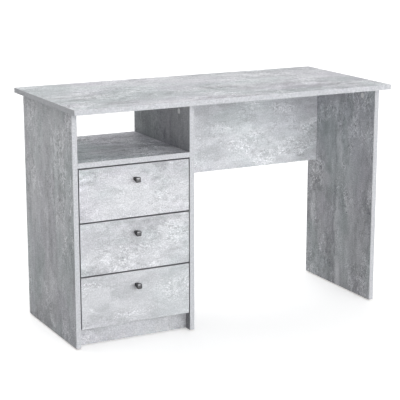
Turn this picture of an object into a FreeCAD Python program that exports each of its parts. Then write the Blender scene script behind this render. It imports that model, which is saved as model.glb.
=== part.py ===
"""Writing desk with an open bay and three drawers in a pedestal, in millimetres.

The frame: +X runs along the worktop to the right, +Y runs to the back and +Z is up. The origin
is on the floor under the middle of the worktop. Each piece is written to parts/NODE.step.
"""
import FreeCAD, Part

import os

Vector = FreeCAD.Vector

# Driving dimensions: the boards
WORKTOP_LENGTH = 1100.0
WORKTOP_DEPTH = 500.0
DESK_HEIGHT = 740.0
BOARD = 16.0
FIBREBOARD = 3.0
SIDE_OVERHANG = 11.0
FRONT_OVERHANG = 50.0
REAR_OVERHANG = 50.0
PEDESTAL_WIDTH = 400.0
OPEN_BAY_HEIGHT = 150.0
PLINTH_HEIGHT = 60.0
PLINTH_SETBACK = 28.0
MODESTY_HEIGHT = 300.0
MODESTY_REAR_SETBACK = 38.0
EDGE_BREAK = 0.6
TOUCHING = 1e-6

# Driving dimensions: the drawers
DRAWER_NAMES = ("top", "middle", "bottom")
FRONT_GAP = 4.0
FRONT_SIDE_GAP = 3.0
FRONT_OVER_PLINTH = 2.0
DRAWER_SIDE_HEIGHT = 110.0
DRAWER_SIDE_RAISE = 16.0
SLIDE_LENGTH = 350.0
SLIDE_SPACE = 12.5
GROOVE_RAISE = 10.0
GROOVE_DEPTH = 5.0
GROOVE_PLAY = 0.2
KNOB_DROP = 43.0

# Driving dimensions: the knobs
KNOB_HEAD = 16.0
KNOB_HEAD_CORNER = 3.5
KNOB_HEAD_THICKNESS = 4.5
KNOB_NECK_LENGTH = 21.0
KNOB_FOOT = 10.0
KNOB_FOOT_CORNER = 3.0
KNOB_HEAD_BREAK = 1.2
KNOB_BORE_DEPTH = 12.0
KNOB_SCREW_RADIUS = 1.95
KNOB_SCREW_REACH = 11.0
KNOB_SCREW_HEAD_RADIUS = 4.5
KNOB_SCREW_HEAD_THICKNESS = 2.2

# Driving dimensions: the slides, measured from the panel's face (across) and from the lower edge
# of the drawer's side (up)
SHEET = 1.2
SLIDE_LIP_REACH = 9.6
CABINET_RAIL_LOW = -4.0
CABINET_RAIL_HIGH = 26.0
DRAWER_RAIL_HIGH = 20.0
DRAWER_RAIL_UNDER_LIP = 13.0
DRAWER_RAIL_LIP_START = 3.2
ROLLER_RADIUS = 8.7
ROLLER_PLAY = 0.3
ROLLER_INNER = 2.4
ROLLER_OUTER = 8.0
ROLLER_END_SETBACK = 14.0
PIN_RADIUS = 2.0
PIN_HEAD_RADIUS = 3.2
PIN_HEAD_THICKNESS = 0.7
RUNNING_PLAY = 0.08
CABINET_RAIL_FRONT_PLAY = 1.0
SCREW_HEAD_RADIUS = 3.0
SCREW_HEAD_THICKNESS = 1.5
SCREW_SHANK_RADIUS = 1.7
SCREW_LENGTH = 12.0
CABINET_SCREW_UP = 19.8
DRAWER_SCREW_UP = 7.0
SLIDE_SCREW_PLACES = (45.0, 165.0, 285.0)

# Driving dimensions: the joining hardware
FIT_PLAY = 0.1
CAM_RADIUS = 7.5
CAM_DEPTH = 12.5
CAM_EDGE_DISTANCE = 34.0
CAM_END_SETBACK = 72.0
CAM_TUNNEL_RADIUS = 3.6
CAM_TUNNEL_BACK = 4.5
CAM_RECESS_RADIUS = 2.3
CAM_RECESS_DEPTH = 3.0
CAP_RADIUS = 8.75
CAP_THICKNESS = 1.0
CAP_RIM_ROUND = 0.6
CAP_SPIGOT_RADIUS = 2.0
CAP_SPIGOT_LENGTH = 2.2
BOLT_SHANK_RADIUS = 3.4
BOLT_THREAD_RADIUS = 2.9
BOLT_THREAD_LENGTH = 10.8
BOLT_HEAD_BACK = 3.0
BOLT_BORE_RADIUS = 4.0
MODESTY_CAM_INSET = 50.0
DOWEL_RADIUS = 4.0
DOWEL_LENGTH = 30.0
DOWEL_FACE_DEPTH = 10.5
DOWEL_SPACING = 32.0
DOWEL_BREAK = 0.8
GLIDE_RADIUS = 8.0
GLIDE_HEIGHT = 4.0
GLIDE_PIN_RADIUS = 2.5
GLIDE_PIN_LENGTH = 12.0
GLIDE_BREAK = 0.8
GLIDE_FRONT_SETBACK = 27.0
GLIDE_REAR_SETBACK = 55.0
NAIL_RADIUS = 0.7
NAIL_LENGTH = 18.0
NAIL_HEAD_RADIUS = 1.8
NAIL_HEAD_THICKNESS = 0.6
NAIL_PITCH = 120.0
NAIL_START = 30.0
BACK_PANEL_INSET = 2.0
BACK_PANEL_RAISE = 10.0

# Places worked out from the driving dimensions
PANEL_BOTTOM = GLIDE_HEIGHT
WORKTOP_UNDERSIDE = DESK_HEIGHT - BOARD
SHELF_TOP = WORKTOP_UNDERSIDE - OPEN_BAY_HEIGHT
SHELF_UNDERSIDE = SHELF_TOP - BOARD
PANEL_FRONT = -WORKTOP_DEPTH / 2 + FRONT_OVERHANG
PANEL_REAR = WORKTOP_DEPTH / 2 - REAR_OVERHANG
LEFT_OUTER = -WORKTOP_LENGTH / 2 + SIDE_OVERHANG
LEFT_INNER = LEFT_OUTER + BOARD
DIVIDER_RIGHT = LEFT_OUTER + PEDESTAL_WIDTH
DIVIDER_LEFT = DIVIDER_RIGHT - BOARD
RIGHT_OUTER = WORKTOP_LENGTH / 2 - SIDE_OVERHANG
RIGHT_INNER = RIGHT_OUTER - BOARD
PLINTH_TOP = PANEL_BOTTOM + PLINTH_HEIGHT
PLINTH_FRONT = PANEL_FRONT + PLINTH_SETBACK
MODESTY_REAR = PANEL_REAR - MODESTY_REAR_SETBACK
MODESTY_BOTTOM = WORKTOP_UNDERSIDE - MODESTY_HEIGHT
FRONTS_BOTTOM = PLINTH_TOP - FRONT_OVER_PLINTH
FRONT_PITCH = (SHELF_UNDERSIDE - FRONTS_BOTTOM) / len(DRAWER_NAMES)
FRONT_HEIGHT = FRONT_PITCH - FRONT_GAP
FRONT_REAR = PANEL_FRONT + BOARD
DRAWER_MIDDLE = (LEFT_INNER + DIVIDER_LEFT) / 2
DRAWER_REAR = FRONT_REAR + SLIDE_LENGTH
BOX_LEFT = LEFT_INNER + SLIDE_SPACE
BOX_RIGHT = DIVIDER_LEFT - SLIDE_SPACE

RIGHTWARD = Vector(1, 0, 0)
LEFTWARD = Vector(-1, 0, 0)
BACKWARD = Vector(0, 1, 0)
FORWARD = Vector(0, -1, 0)
UPWARD = Vector(0, 0, 1)
DOWNWARD = Vector(0, 0, -1)


def block(x, y, z):
    """A box between two values on each axis."""
    low = Vector(min(x), min(y), min(z))
    return Part.makeBox(max(x) - low.x, max(y) - low.y, max(z) - low.z, low)


def rod(start, direction, radius, length):
    """A cylinder that begins at start and runs along direction."""
    return Part.makeCylinder(radius, length, start, direction)


def ease_edges(board, *faces):
    """Breaks the edges around the banded faces of a board; a face is named by its outward direction."""
    box = board.BoundBox
    limits = (
        (RIGHTWARD, lambda p: abs(p.x - box.XMax)),
        (LEFTWARD, lambda p: abs(p.x - box.XMin)),
        (BACKWARD, lambda p: abs(p.y - box.YMax)),
        (FORWARD, lambda p: abs(p.y - box.YMin)),
        (UPWARD, lambda p: abs(p.z - box.ZMax)),
        (DOWNWARD, lambda p: abs(p.z - box.ZMin)),
    )
    tests = [distance for direction, distance in limits if direction in faces]
    edges = [e for e in board.Edges if any(test(e.CenterOfMass) < TOUCHING for test in tests)]
    return board.makeChamfer(EDGE_BREAK, edges)


def in_place(shape, origin, out, along):
    """Moves a shape drawn with its local Z as out and its local X as along to an origin."""
    side = out.cross(along)
    matrix = FreeCAD.Matrix(
        along.x, side.x, out.x, origin.x,
        along.y, side.y, out.y, origin.y,
        along.z, side.z, out.z, origin.z,
        0, 0, 0, 1,
    )
    return shape.transformed(matrix)


class Assembly:
    """The desk's nodes by name, each a list of separate solids."""

    def __init__(self):
        self.nodes = {}

    def add(self, name, *solids):
        """Adds solids to a node, and makes the node if it's new."""
        self.nodes.setdefault(name, []).extend(solids)

    def cut(self, name, *tools):
        """Cuts holes or grooves in a node that is a single solid."""
        self.nodes[name] = [self.nodes[name][0].cut(list(tools))]

    def write(self):
        """Writes one STEP file per node."""
        os.makedirs("parts", exist_ok=True)
        for name, solids in self.nodes.items():
            shape = solids[0] if len(solids) == 1 else Part.makeCompound(solids)
            shape.exportStep(f"parts/{name}.step")


# The boards of the carcass

def upright_panel(left, right):
    """A vertical panel that carries the worktop, with its front and rear edges banded."""
    panel = block((left, right), (PANEL_FRONT, PANEL_REAR), (PANEL_BOTTOM, WORKTOP_UNDERSIDE))
    return ease_edges(panel, FORWARD, BACKWARD)


def add_boards(desk):
    """The worktop, the three uprights, the shelf, the plinth, and the modesty and back panels."""
    worktop = block(
        (-WORKTOP_LENGTH / 2, WORKTOP_LENGTH / 2),
        (-WORKTOP_DEPTH / 2, WORKTOP_DEPTH / 2),
        (WORKTOP_UNDERSIDE, DESK_HEIGHT),
    )
    desk.add("worktop", ease_edges(worktop, LEFTWARD, RIGHTWARD, FORWARD, BACKWARD))
    desk.add("left_side_panel", upright_panel(LEFT_OUTER, LEFT_INNER))
    desk.add("divider_panel", upright_panel(DIVIDER_LEFT, DIVIDER_RIGHT))
    desk.add("right_side_panel", upright_panel(RIGHT_INNER, RIGHT_OUTER))

    bay = (LEFT_INNER, DIVIDER_LEFT)
    shelf = block(bay, (PANEL_FRONT, PANEL_REAR), (SHELF_UNDERSIDE, SHELF_TOP))
    desk.add("shelf", ease_edges(shelf, FORWARD, BACKWARD))
    plinth = block(bay, (PLINTH_FRONT, PLINTH_FRONT + BOARD), (PANEL_BOTTOM, PLINTH_TOP))
    desk.add("plinth", ease_edges(plinth, UPWARD, DOWNWARD))
    modesty = block(
        (DIVIDER_RIGHT, RIGHT_INNER),
        (MODESTY_REAR - BOARD, MODESTY_REAR),
        (MODESTY_BOTTOM, WORKTOP_UNDERSIDE),
    )
    desk.add("modesty_panel", ease_edges(modesty, DOWNWARD))
    back = block(
        (LEFT_OUTER + BACK_PANEL_INSET, DIVIDER_RIGHT - BACK_PANEL_INSET),
        (PANEL_REAR, PANEL_REAR + FIBREBOARD),
        (PANEL_BOTTOM + BACK_PANEL_RAISE, SHELF_UNDERSIDE + BOARD / 2),
    )
    desk.add("bay_back_panel", back)


# The joining hardware

def cam_lock():
    """A cam housing in its pocket: the board's face is at local Z 0 and the bolt comes along X."""
    housing = rod(Vector(0, 0, -CAM_DEPTH), UPWARD, CAM_RADIUS - FIT_PLAY, CAM_DEPTH - FIT_PLAY)
    tunnel = rod(
        Vector(-CAM_TUNNEL_BACK, 0, -BOARD / 2), RIGHTWARD, CAM_TUNNEL_RADIUS, CAM_RADIUS + CAM_TUNNEL_BACK
    )
    recess = rod(Vector(0, 0, -CAM_RECESS_DEPTH), UPWARD, CAM_RECESS_RADIUS, CAM_RECESS_DEPTH)
    return housing.cut([tunnel, recess])


def cam_pocket():
    """The holes for a cam joint in the board that holds the housing."""
    pocket = rod(Vector(0, 0, -CAM_DEPTH), UPWARD, CAM_RADIUS, CAM_DEPTH)
    bore = rod(Vector(0, 0, -BOARD / 2), RIGHTWARD, BOLT_BORE_RADIUS, CAM_EDGE_DISTANCE)
    return pocket.fuse(bore)


def cam_bolt():
    """The bolt of a cam joint, from the housing to its thread in the other board."""
    shank = rod(
        Vector(-BOLT_HEAD_BACK, 0, -BOARD / 2),
        RIGHTWARD,
        BOLT_SHANK_RADIUS,
        CAM_EDGE_DISTANCE + BOLT_HEAD_BACK,
    )
    thread = rod(
        Vector(CAM_EDGE_DISTANCE, 0, -BOARD / 2), RIGHTWARD, BOLT_THREAD_RADIUS, BOLT_THREAD_LENGTH
    )
    return shank.fuse(thread)


def cam_bolt_hole():
    """The hole for the bolt's thread in the other board."""
    start = Vector(CAM_EDGE_DISTANCE, 0, -BOARD / 2)
    return rod(start, RIGHTWARD, BOLT_THREAD_RADIUS + FIT_PLAY, BOLT_THREAD_LENGTH + FIT_PLAY)


def cam_cap():
    """The press-in cover of a cam: a thin disc with a spigot in the housing's recess."""
    disc = rod(Vector(0, 0, 0), UPWARD, CAP_RADIUS, CAP_THICKNESS)
    rim = [e for e in disc.Edges if e.CenterOfMass.z > CAP_THICKNESS / 2 and e.Closed]
    disc = disc.makeFillet(CAP_RIM_ROUND, rim)
    return disc.fuse(rod(Vector(0, 0, -CAP_SPIGOT_LENGTH), UPWARD, CAP_SPIGOT_RADIUS, CAP_SPIGOT_LENGTH))


def add_cam_joint(desk, host, mate, origin, out, along):
    """Joins the host board, which holds the housing and its cap, to the mating board."""
    frame = (origin, out, along)
    desk.cut(host, in_place(cam_pocket(), *frame))
    desk.cut(mate, in_place(cam_bolt_hole(), *frame))
    desk.add("cam_locks", in_place(cam_lock(), *frame))
    desk.add("cam_bolts", in_place(cam_bolt(), *frame))
    desk.add("cam_caps", in_place(cam_cap(), *frame))


def add_dowel(desk, host, mate, joint, direction):
    """A glued dowel that stands across the joint, from the host's edge into the mate's face."""
    start = joint - direction * (DOWEL_LENGTH - DOWEL_FACE_DEPTH)
    dowel = rod(start, direction, DOWEL_RADIUS, DOWEL_LENGTH)
    hole = rod(start - direction * FIT_PLAY, direction, DOWEL_RADIUS + FIT_PLAY, DOWEL_LENGTH + 2 * FIT_PLAY)
    desk.add("wood_dowels", dowel.makeChamfer(DOWEL_BREAK, [e for e in dowel.Edges if e.Closed]))
    desk.cut(host, hole)
    desk.cut(mate, hole)


def join_uprights(desk):
    """Each upright holds the worktop with a cam and a dowel near its front and rear edges."""
    uprights = (
        ("left_side_panel", LEFT_INNER, RIGHTWARD, LEFT_OUTER),
        ("divider_panel", DIVIDER_LEFT, LEFTWARD, DIVIDER_LEFT),
        ("right_side_panel", RIGHT_INNER, LEFTWARD, RIGHT_INNER),
    )
    for panel, face, out, left in uprights:
        for end, inward in ((PANEL_FRONT, 1), (PANEL_REAR, -1)):
            y = end + inward * CAM_END_SETBACK
            origin = Vector(face, y, WORKTOP_UNDERSIDE - CAM_EDGE_DISTANCE)
            add_cam_joint(desk, panel, "worktop", origin, out, UPWARD)
            dowel = Vector(left + BOARD / 2, y + inward * DOWEL_SPACING, WORKTOP_UNDERSIDE)
            add_dowel(desk, panel, "worktop", dowel, UPWARD)


def join_shelf(desk):
    """The shelf is held from below by cams at each end, with a dowel between them."""
    ends = (("left_side_panel", LEFT_INNER, LEFTWARD), ("divider_panel", DIVIDER_LEFT, RIGHTWARD))
    for panel, end, along in ends:
        for y in (PANEL_FRONT + CAM_END_SETBACK, PANEL_REAR - CAM_END_SETBACK):
            origin = Vector(end, y, SHELF_UNDERSIDE) - along * CAM_EDGE_DISTANCE
            add_cam_joint(desk, "shelf", panel, origin, DOWNWARD, along)
        middle = Vector(end, (PANEL_FRONT + PANEL_REAR) / 2, SHELF_UNDERSIDE + BOARD / 2)
        add_dowel(desk, "shelf", panel, middle, along)


def join_plinth(desk):
    """The plinth is held by a cam at each end of its rear face."""
    ends = (("left_side_panel", LEFT_INNER, LEFTWARD), ("divider_panel", DIVIDER_LEFT, RIGHTWARD))
    for panel, end, along in ends:
        origin = Vector(end, PLINTH_FRONT + BOARD, PANEL_BOTTOM + PLINTH_HEIGHT / 2)
        add_cam_joint(desk, "plinth", panel, origin - along * CAM_EDGE_DISTANCE, BACKWARD, along)


def join_modesty_panel(desk):
    """The modesty panel is held by an upper and a lower cam at each end of its rear face."""
    ends = (("divider_panel", DIVIDER_RIGHT, LEFTWARD), ("right_side_panel", RIGHT_INNER, RIGHTWARD))
    heights = (WORKTOP_UNDERSIDE - MODESTY_CAM_INSET, MODESTY_BOTTOM + MODESTY_CAM_INSET)
    for panel, end, along in ends:
        for z in heights:
            origin = Vector(end, MODESTY_REAR, z) - along * CAM_EDGE_DISTANCE
            add_cam_joint(desk, "modesty_panel", panel, origin, BACKWARD, along)
        middle = Vector(end, MODESTY_REAR - BOARD / 2, sum(heights) / 2)
        add_dowel(desk, "modesty_panel", panel, middle, along)


def add_glides(desk):
    """Two moulded glides under each upright, each with a pin in the panel's lower edge."""
    uprights = (
        ("left_side_panel", LEFT_OUTER),
        ("divider_panel", DIVIDER_LEFT),
        ("right_side_panel", RIGHT_INNER),
    )
    for panel, left in uprights:
        for y in (PANEL_FRONT + GLIDE_FRONT_SETBACK, PANEL_REAR - GLIDE_REAR_SETBACK):
            foot = Vector(left + BOARD / 2, y, 0)
            top = foot + UPWARD * GLIDE_HEIGHT
            disc = rod(foot, UPWARD, GLIDE_RADIUS, GLIDE_HEIGHT)
            rim = [e for e in disc.Edges if e.Closed and e.CenterOfMass.z < GLIDE_HEIGHT / 2]
            disc = disc.makeChamfer(GLIDE_BREAK, rim)
            desk.add("floor_glides", disc.fuse(rod(top, UPWARD, GLIDE_PIN_RADIUS, GLIDE_PIN_LENGTH)))
            hole_radius = GLIDE_PIN_RADIUS + FIT_PLAY
            desk.cut(panel, rod(top, UPWARD, hole_radius, GLIDE_PIN_LENGTH + FIT_PLAY))


def add_back_panel_nails(desk):
    """Nails through the back panel, up both uprights and along the shelf."""
    back = desk.nodes["bay_back_panel"][0].BoundBox
    rows = int((back.ZLength - 2 * NAIL_START) // NAIL_PITCH) + 1
    places = []
    for panel, left in (("left_side_panel", LEFT_OUTER), ("divider_panel", DIVIDER_LEFT)):
        for row in range(rows):
            places.append((panel, left + BOARD / 2, back.ZMin + NAIL_START + NAIL_PITCH * row))
    for step in (-1, 0, 1):
        places.append(("shelf", DRAWER_MIDDLE + step * NAIL_PITCH, SHELF_UNDERSIDE + BOARD / 4))
    for board, x, z in places:
        face = Vector(x, PANEL_REAR + FIBREBOARD, z)
        nail = rod(face, FORWARD, NAIL_RADIUS, NAIL_LENGTH)
        head = rod(face, BACKWARD, NAIL_HEAD_RADIUS, NAIL_HEAD_THICKNESS)
        hole = rod(face, FORWARD, NAIL_RADIUS + FIT_PLAY, NAIL_LENGTH + FIT_PLAY)
        desk.add("back_panel_nails", nail.fuse(head))
        desk.cut("bay_back_panel", hole)
        desk.cut(board, hole)


# The drawer slides

class SlideSide:
    """One side of the drawer bay, where slides are drawn across from the panel's face."""

    def __init__(self, name, panel, face, across):
        self.name = name
        self.panel = panel
        self.face = face
        self.across = across

    def slab(self, across, y, z):
        """A box whose X runs from the panel's face towards the drawer."""
        start, end = (self.face + self.across.x * value for value in across)
        return block((start, end), y, z)

    def pin(self, across, y, z, radius):
        """A cylinder along X between two distances from the panel's face."""
        start = Vector(self.face + self.across.x * across[0], y, z)
        return rod(start, self.across, radius, across[1] - across[0])


SIDES = (
    SlideSide("left", "left_side_panel", LEFT_INNER, RIGHTWARD),
    SlideSide("right", "divider_panel", DIVIDER_LEFT, LEFTWARD),
)
CABINET_RAIL_FRONT = FRONT_REAR + CABINET_RAIL_FRONT_PLAY
FRONT_ROLLER_Y = CABINET_RAIL_FRONT + ROLLER_END_SETBACK
REAR_ROLLER_Y = DRAWER_REAR - ROLLER_END_SETBACK
FRONT_ROLLER_UP = DRAWER_RAIL_HIGH - SHEET - ROLLER_PLAY - ROLLER_RADIUS
REAR_ROLLER_UP = CABINET_RAIL_LOW + SHEET + ROLLER_PLAY + ROLLER_RADIUS
DRAWER_WEB = SLIDE_SPACE - SHEET


def wheel(side, y, z):
    """A plastic roller that turns on a pin along X."""
    disc = side.pin((ROLLER_INNER, ROLLER_OUTER), y, z, ROLLER_RADIUS)
    disc = disc.makeChamfer(EDGE_BREAK, [e for e in disc.Edges if e.Closed])
    return disc.cut(side.pin((ROLLER_INNER, ROLLER_OUTER), y, z, PIN_RADIUS + RUNNING_PLAY))


def add_cabinet_slide(desk, drawer, side, low):
    """The channel on the panel, with a riveted pin and a roller at its front end."""
    rail_y = (CABINET_RAIL_FRONT, CABINET_RAIL_FRONT + SLIDE_LENGTH)
    bottom = low + CABINET_RAIL_LOW
    top = low + CABINET_RAIL_HIGH
    roller_z = low + FRONT_ROLLER_UP
    rail = side.slab((0, SHEET), rail_y, (bottom, top))
    lower_lip = side.slab((SHEET, SLIDE_LIP_REACH), rail_y, (bottom, bottom + SHEET))
    upper_lip = side.slab((SHEET, SLIDE_LIP_REACH), rail_y, (top - SHEET, top))
    head_start = ROLLER_OUTER + RUNNING_PLAY
    pin = side.pin((SHEET, head_start), FRONT_ROLLER_Y, roller_z, PIN_RADIUS)
    head = side.pin((head_start, head_start + PIN_HEAD_THICKNESS), FRONT_ROLLER_Y, roller_z, PIN_HEAD_RADIUS)
    node = f"{drawer}_{side.name}_cabinet_rail"
    desk.add(node, rail.fuse([lower_lip, upper_lip, pin, head]))
    desk.add(f"{drawer}_cabinet_rollers", wheel(side, FRONT_ROLLER_Y, roller_z))
    for place in SLIDE_SCREW_PLACES:
        y = CABINET_RAIL_FRONT + place
        z = low + CABINET_SCREW_UP
        head = side.pin((SHEET, SHEET + SCREW_HEAD_THICKNESS), y, z, SCREW_HEAD_RADIUS)
        shank = side.pin((SHEET - SCREW_LENGTH, SHEET), y, z, SCREW_SHANK_RADIUS)
        hole = side.pin((-SCREW_LENGTH, SHEET), y, z, SCREW_SHANK_RADIUS + FIT_PLAY)
        desk.add("cabinet_rail_screws", head.fuse(shank))
        desk.cut(node, hole)
        desk.cut(side.panel, hole)


def add_drawer_slide(desk, drawer, side, low):
    """The rail on the drawer's side, with a riveted pin and a roller at its rear end."""
    rail_y = (FRONT_REAR, DRAWER_REAR)
    roller_z = low + REAR_ROLLER_UP
    web = side.slab((DRAWER_WEB, SLIDE_SPACE), rail_y, (low - SHEET, low + DRAWER_RAIL_HIGH))
    under_lip = side.slab((SLIDE_SPACE, SLIDE_SPACE + DRAWER_RAIL_UNDER_LIP), rail_y, (low - SHEET, low))
    running_lip = side.slab(
        (DRAWER_RAIL_LIP_START, DRAWER_WEB), rail_y, (low + DRAWER_RAIL_HIGH - SHEET, low + DRAWER_RAIL_HIGH)
    )
    shoulder = side.pin((ROLLER_OUTER + RUNNING_PLAY, DRAWER_WEB), REAR_ROLLER_Y, roller_z, PIN_HEAD_RADIUS)
    head_end = ROLLER_INNER - RUNNING_PLAY
    pin = side.pin((head_end, DRAWER_WEB), REAR_ROLLER_Y, roller_z, PIN_RADIUS)
    head = side.pin((head_end - PIN_HEAD_THICKNESS, head_end), REAR_ROLLER_Y, roller_z, PIN_HEAD_RADIUS)
    node = f"{drawer}_drawer_{side.name}_rail"
    desk.add(node, web.fuse([under_lip, running_lip, shoulder, pin, head]))
    desk.add(f"{drawer}_drawer_rollers", wheel(side, REAR_ROLLER_Y, roller_z))
    for place in SLIDE_SCREW_PLACES:
        y = FRONT_REAR + place
        z = low + DRAWER_SCREW_UP
        head = side.pin((DRAWER_WEB - SCREW_HEAD_THICKNESS, DRAWER_WEB), y, z, SCREW_HEAD_RADIUS)
        shank = side.pin((DRAWER_WEB, DRAWER_WEB + SCREW_LENGTH), y, z, SCREW_SHANK_RADIUS)
        hole = side.pin((DRAWER_WEB, SLIDE_SPACE + SCREW_LENGTH), y, z, SCREW_SHANK_RADIUS + FIT_PLAY)
        desk.add(f"{drawer}_drawer_rail_screws", head.fuse(shank))
        desk.cut(node, hole)
        desk.cut(f"{drawer}_drawer_{side.name}_side", hole)


# The drawers

def add_drawer_box(desk, drawer, front_bottom):
    """The drawer's front, two sides and back, with a fibreboard bottom in grooves."""
    low = front_bottom + DRAWER_SIDE_RAISE
    high = low + DRAWER_SIDE_HEIGHT
    groove_z = (low + GROOVE_RAISE, low + GROOVE_RAISE + FIBREBOARD + GROOVE_PLAY)
    inner_left = BOX_LEFT + BOARD
    inner_right = BOX_RIGHT - BOARD
    groove_x = (inner_left - GROOVE_DEPTH, inner_right + GROOVE_DEPTH)
    groove = block(groove_x, (FRONT_REAR - GROOVE_DEPTH, DRAWER_REAR), groove_z)

    front = block(
        (LEFT_INNER + FRONT_SIDE_GAP, DIVIDER_LEFT - FRONT_SIDE_GAP),
        (PANEL_FRONT, FRONT_REAR),
        (front_bottom, front_bottom + FRONT_HEIGHT),
    )
    front = ease_edges(front, LEFTWARD, RIGHTWARD, UPWARD, DOWNWARD)
    desk.add(f"{drawer}_drawer_front", front.cut(groove))
    for name, left in (("left", BOX_LEFT), ("right", inner_right)):
        side = block((left, left + BOARD), (FRONT_REAR, DRAWER_REAR), (low, high))
        desk.add(f"{drawer}_drawer_{name}_side", ease_edges(side, UPWARD).cut(groove))
    back = block(
        (inner_left, inner_right),
        (DRAWER_REAR - BOARD, DRAWER_REAR),
        (groove_z[1], high),
    )
    desk.add(f"{drawer}_drawer_back", ease_edges(back, UPWARD))
    bottom = block(
        (groove_x[0] + FIT_PLAY, groove_x[1] - FIT_PLAY),
        (FRONT_REAR - GROOVE_DEPTH + FIT_PLAY, DRAWER_REAR),
        (groove_z[0], groove_z[0] + FIBREBOARD),
    )
    desk.add(f"{drawer}_drawer_bottom", bottom)


def join_drawer_front(desk, drawer, low):
    """A cam in each side board, near the front, pulls the front tight."""
    for name, face, out in (("left", BOX_LEFT + BOARD, RIGHTWARD), ("right", BOX_RIGHT - BOARD, LEFTWARD)):
        origin = Vector(face, FRONT_REAR + CAM_EDGE_DISTANCE, low + DRAWER_SIDE_HEIGHT / 2)
        frame = (origin, out, FORWARD)
        desk.cut(f"{drawer}_drawer_{name}_side", in_place(cam_pocket(), *frame))
        desk.cut(f"{drawer}_drawer_front", in_place(cam_bolt_hole(), *frame))
        desk.add(f"{drawer}_drawer_cam_locks", in_place(cam_lock(), *frame))


def square_bar(width, corner, low, high):
    """A square bar with rounded corners between two local heights."""
    bar = Part.makeBox(width, width, high - low, Vector(-width / 2, -width / 2, low))
    middle = (low + high) / 2
    return bar.makeFillet(corner, [e for e in bar.Edges if abs(e.CenterOfMass.z - middle) < TOUCHING])


def outline(solid, height):
    """The wire round a solid's flat face at a local height."""
    return next(f.OuterWire for f in solid.Faces if abs(f.CenterOfMass.z - height) < TOUCHING)


def knob_shape():
    """A square knob on a neck that flares from its foot: local Z points away from the drawer's front."""
    face = KNOB_NECK_LENGTH + KNOB_HEAD_THICKNESS
    head = square_bar(KNOB_HEAD, KNOB_HEAD_CORNER, KNOB_NECK_LENGTH, face)
    foot = square_bar(KNOB_FOOT, KNOB_FOOT_CORNER, 0, KNOB_NECK_LENGTH)
    neck = Part.makeLoft([outline(foot, 0), outline(head, KNOB_NECK_LENGTH)], True, True)
    rim = [e for e in head.Edges if abs(e.CenterOfMass.z - face) < TOUCHING]
    return head.makeFillet(KNOB_HEAD_BREAK, rim).fuse(neck)


def add_knob(desk, drawer, front_top):
    """The knob on the middle of the drawer's front, and the screw that holds it from inside."""
    seat = Vector(DRAWER_MIDDLE, PANEL_FRONT, front_top - KNOB_DROP)
    inside = seat + BACKWARD * BOARD
    knob = in_place(knob_shape(), seat, FORWARD, RIGHTWARD)
    hole_radius = KNOB_SCREW_RADIUS + FIT_PLAY
    desk.add(f"{drawer}_drawer_knob", knob.cut(rod(seat, FORWARD, hole_radius, KNOB_BORE_DEPTH)))
    desk.cut(f"{drawer}_drawer_front", rod(inside, FORWARD, hole_radius, BOARD))
    shank = rod(inside, FORWARD, KNOB_SCREW_RADIUS, BOARD + KNOB_SCREW_REACH)
    head = rod(inside, BACKWARD, KNOB_SCREW_HEAD_RADIUS, KNOB_SCREW_HEAD_THICKNESS)
    rim = [e for e in head.Edges if e.Closed and e.CenterOfMass.y > inside.y + EDGE_BREAK]
    desk.add(f"{drawer}_drawer_knob_screw", head.makeChamfer(EDGE_BREAK, rim).fuse(shank))


def add_drawers(desk):
    """Three equal drawers, counted down from the shelf."""
    for place, drawer in enumerate(DRAWER_NAMES):
        front_top = SHELF_UNDERSIDE - FRONT_GAP - place * FRONT_PITCH
        front_bottom = front_top - FRONT_HEIGHT
        low = front_bottom + DRAWER_SIDE_RAISE
        add_drawer_box(desk, drawer, front_bottom)
        join_drawer_front(desk, drawer, low)
        add_knob(desk, drawer, front_top)
        for side in SIDES:
            add_cabinet_slide(desk, drawer, side, low)
            add_drawer_slide(desk, drawer, side, low)


def main():
    """Builds the desk and writes its parts."""
    desk = Assembly()
    add_boards(desk)
    join_uprights(desk)
    join_shelf(desk)
    join_plinth(desk)
    join_modesty_panel(desk)
    add_glides(desk)
    add_back_panel_nails(desk)
    add_drawers(desk)
    desk.write()


main()
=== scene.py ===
"""The looks of a writing desk with an open bay and three drawers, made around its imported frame.

Every length is in metres, in the frame's axes: +X runs along the worktop to the right, +Y to the
back and +Z up, and the origin is on the floor under the middle of the worktop.
"""

import logging
import math
from collections.abc import Callable, Iterable
from dataclasses import dataclass
from enum import Enum
from typing import Any

import bmesh
import bpy
from mathutils import Euler, Matrix, Vector


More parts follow.
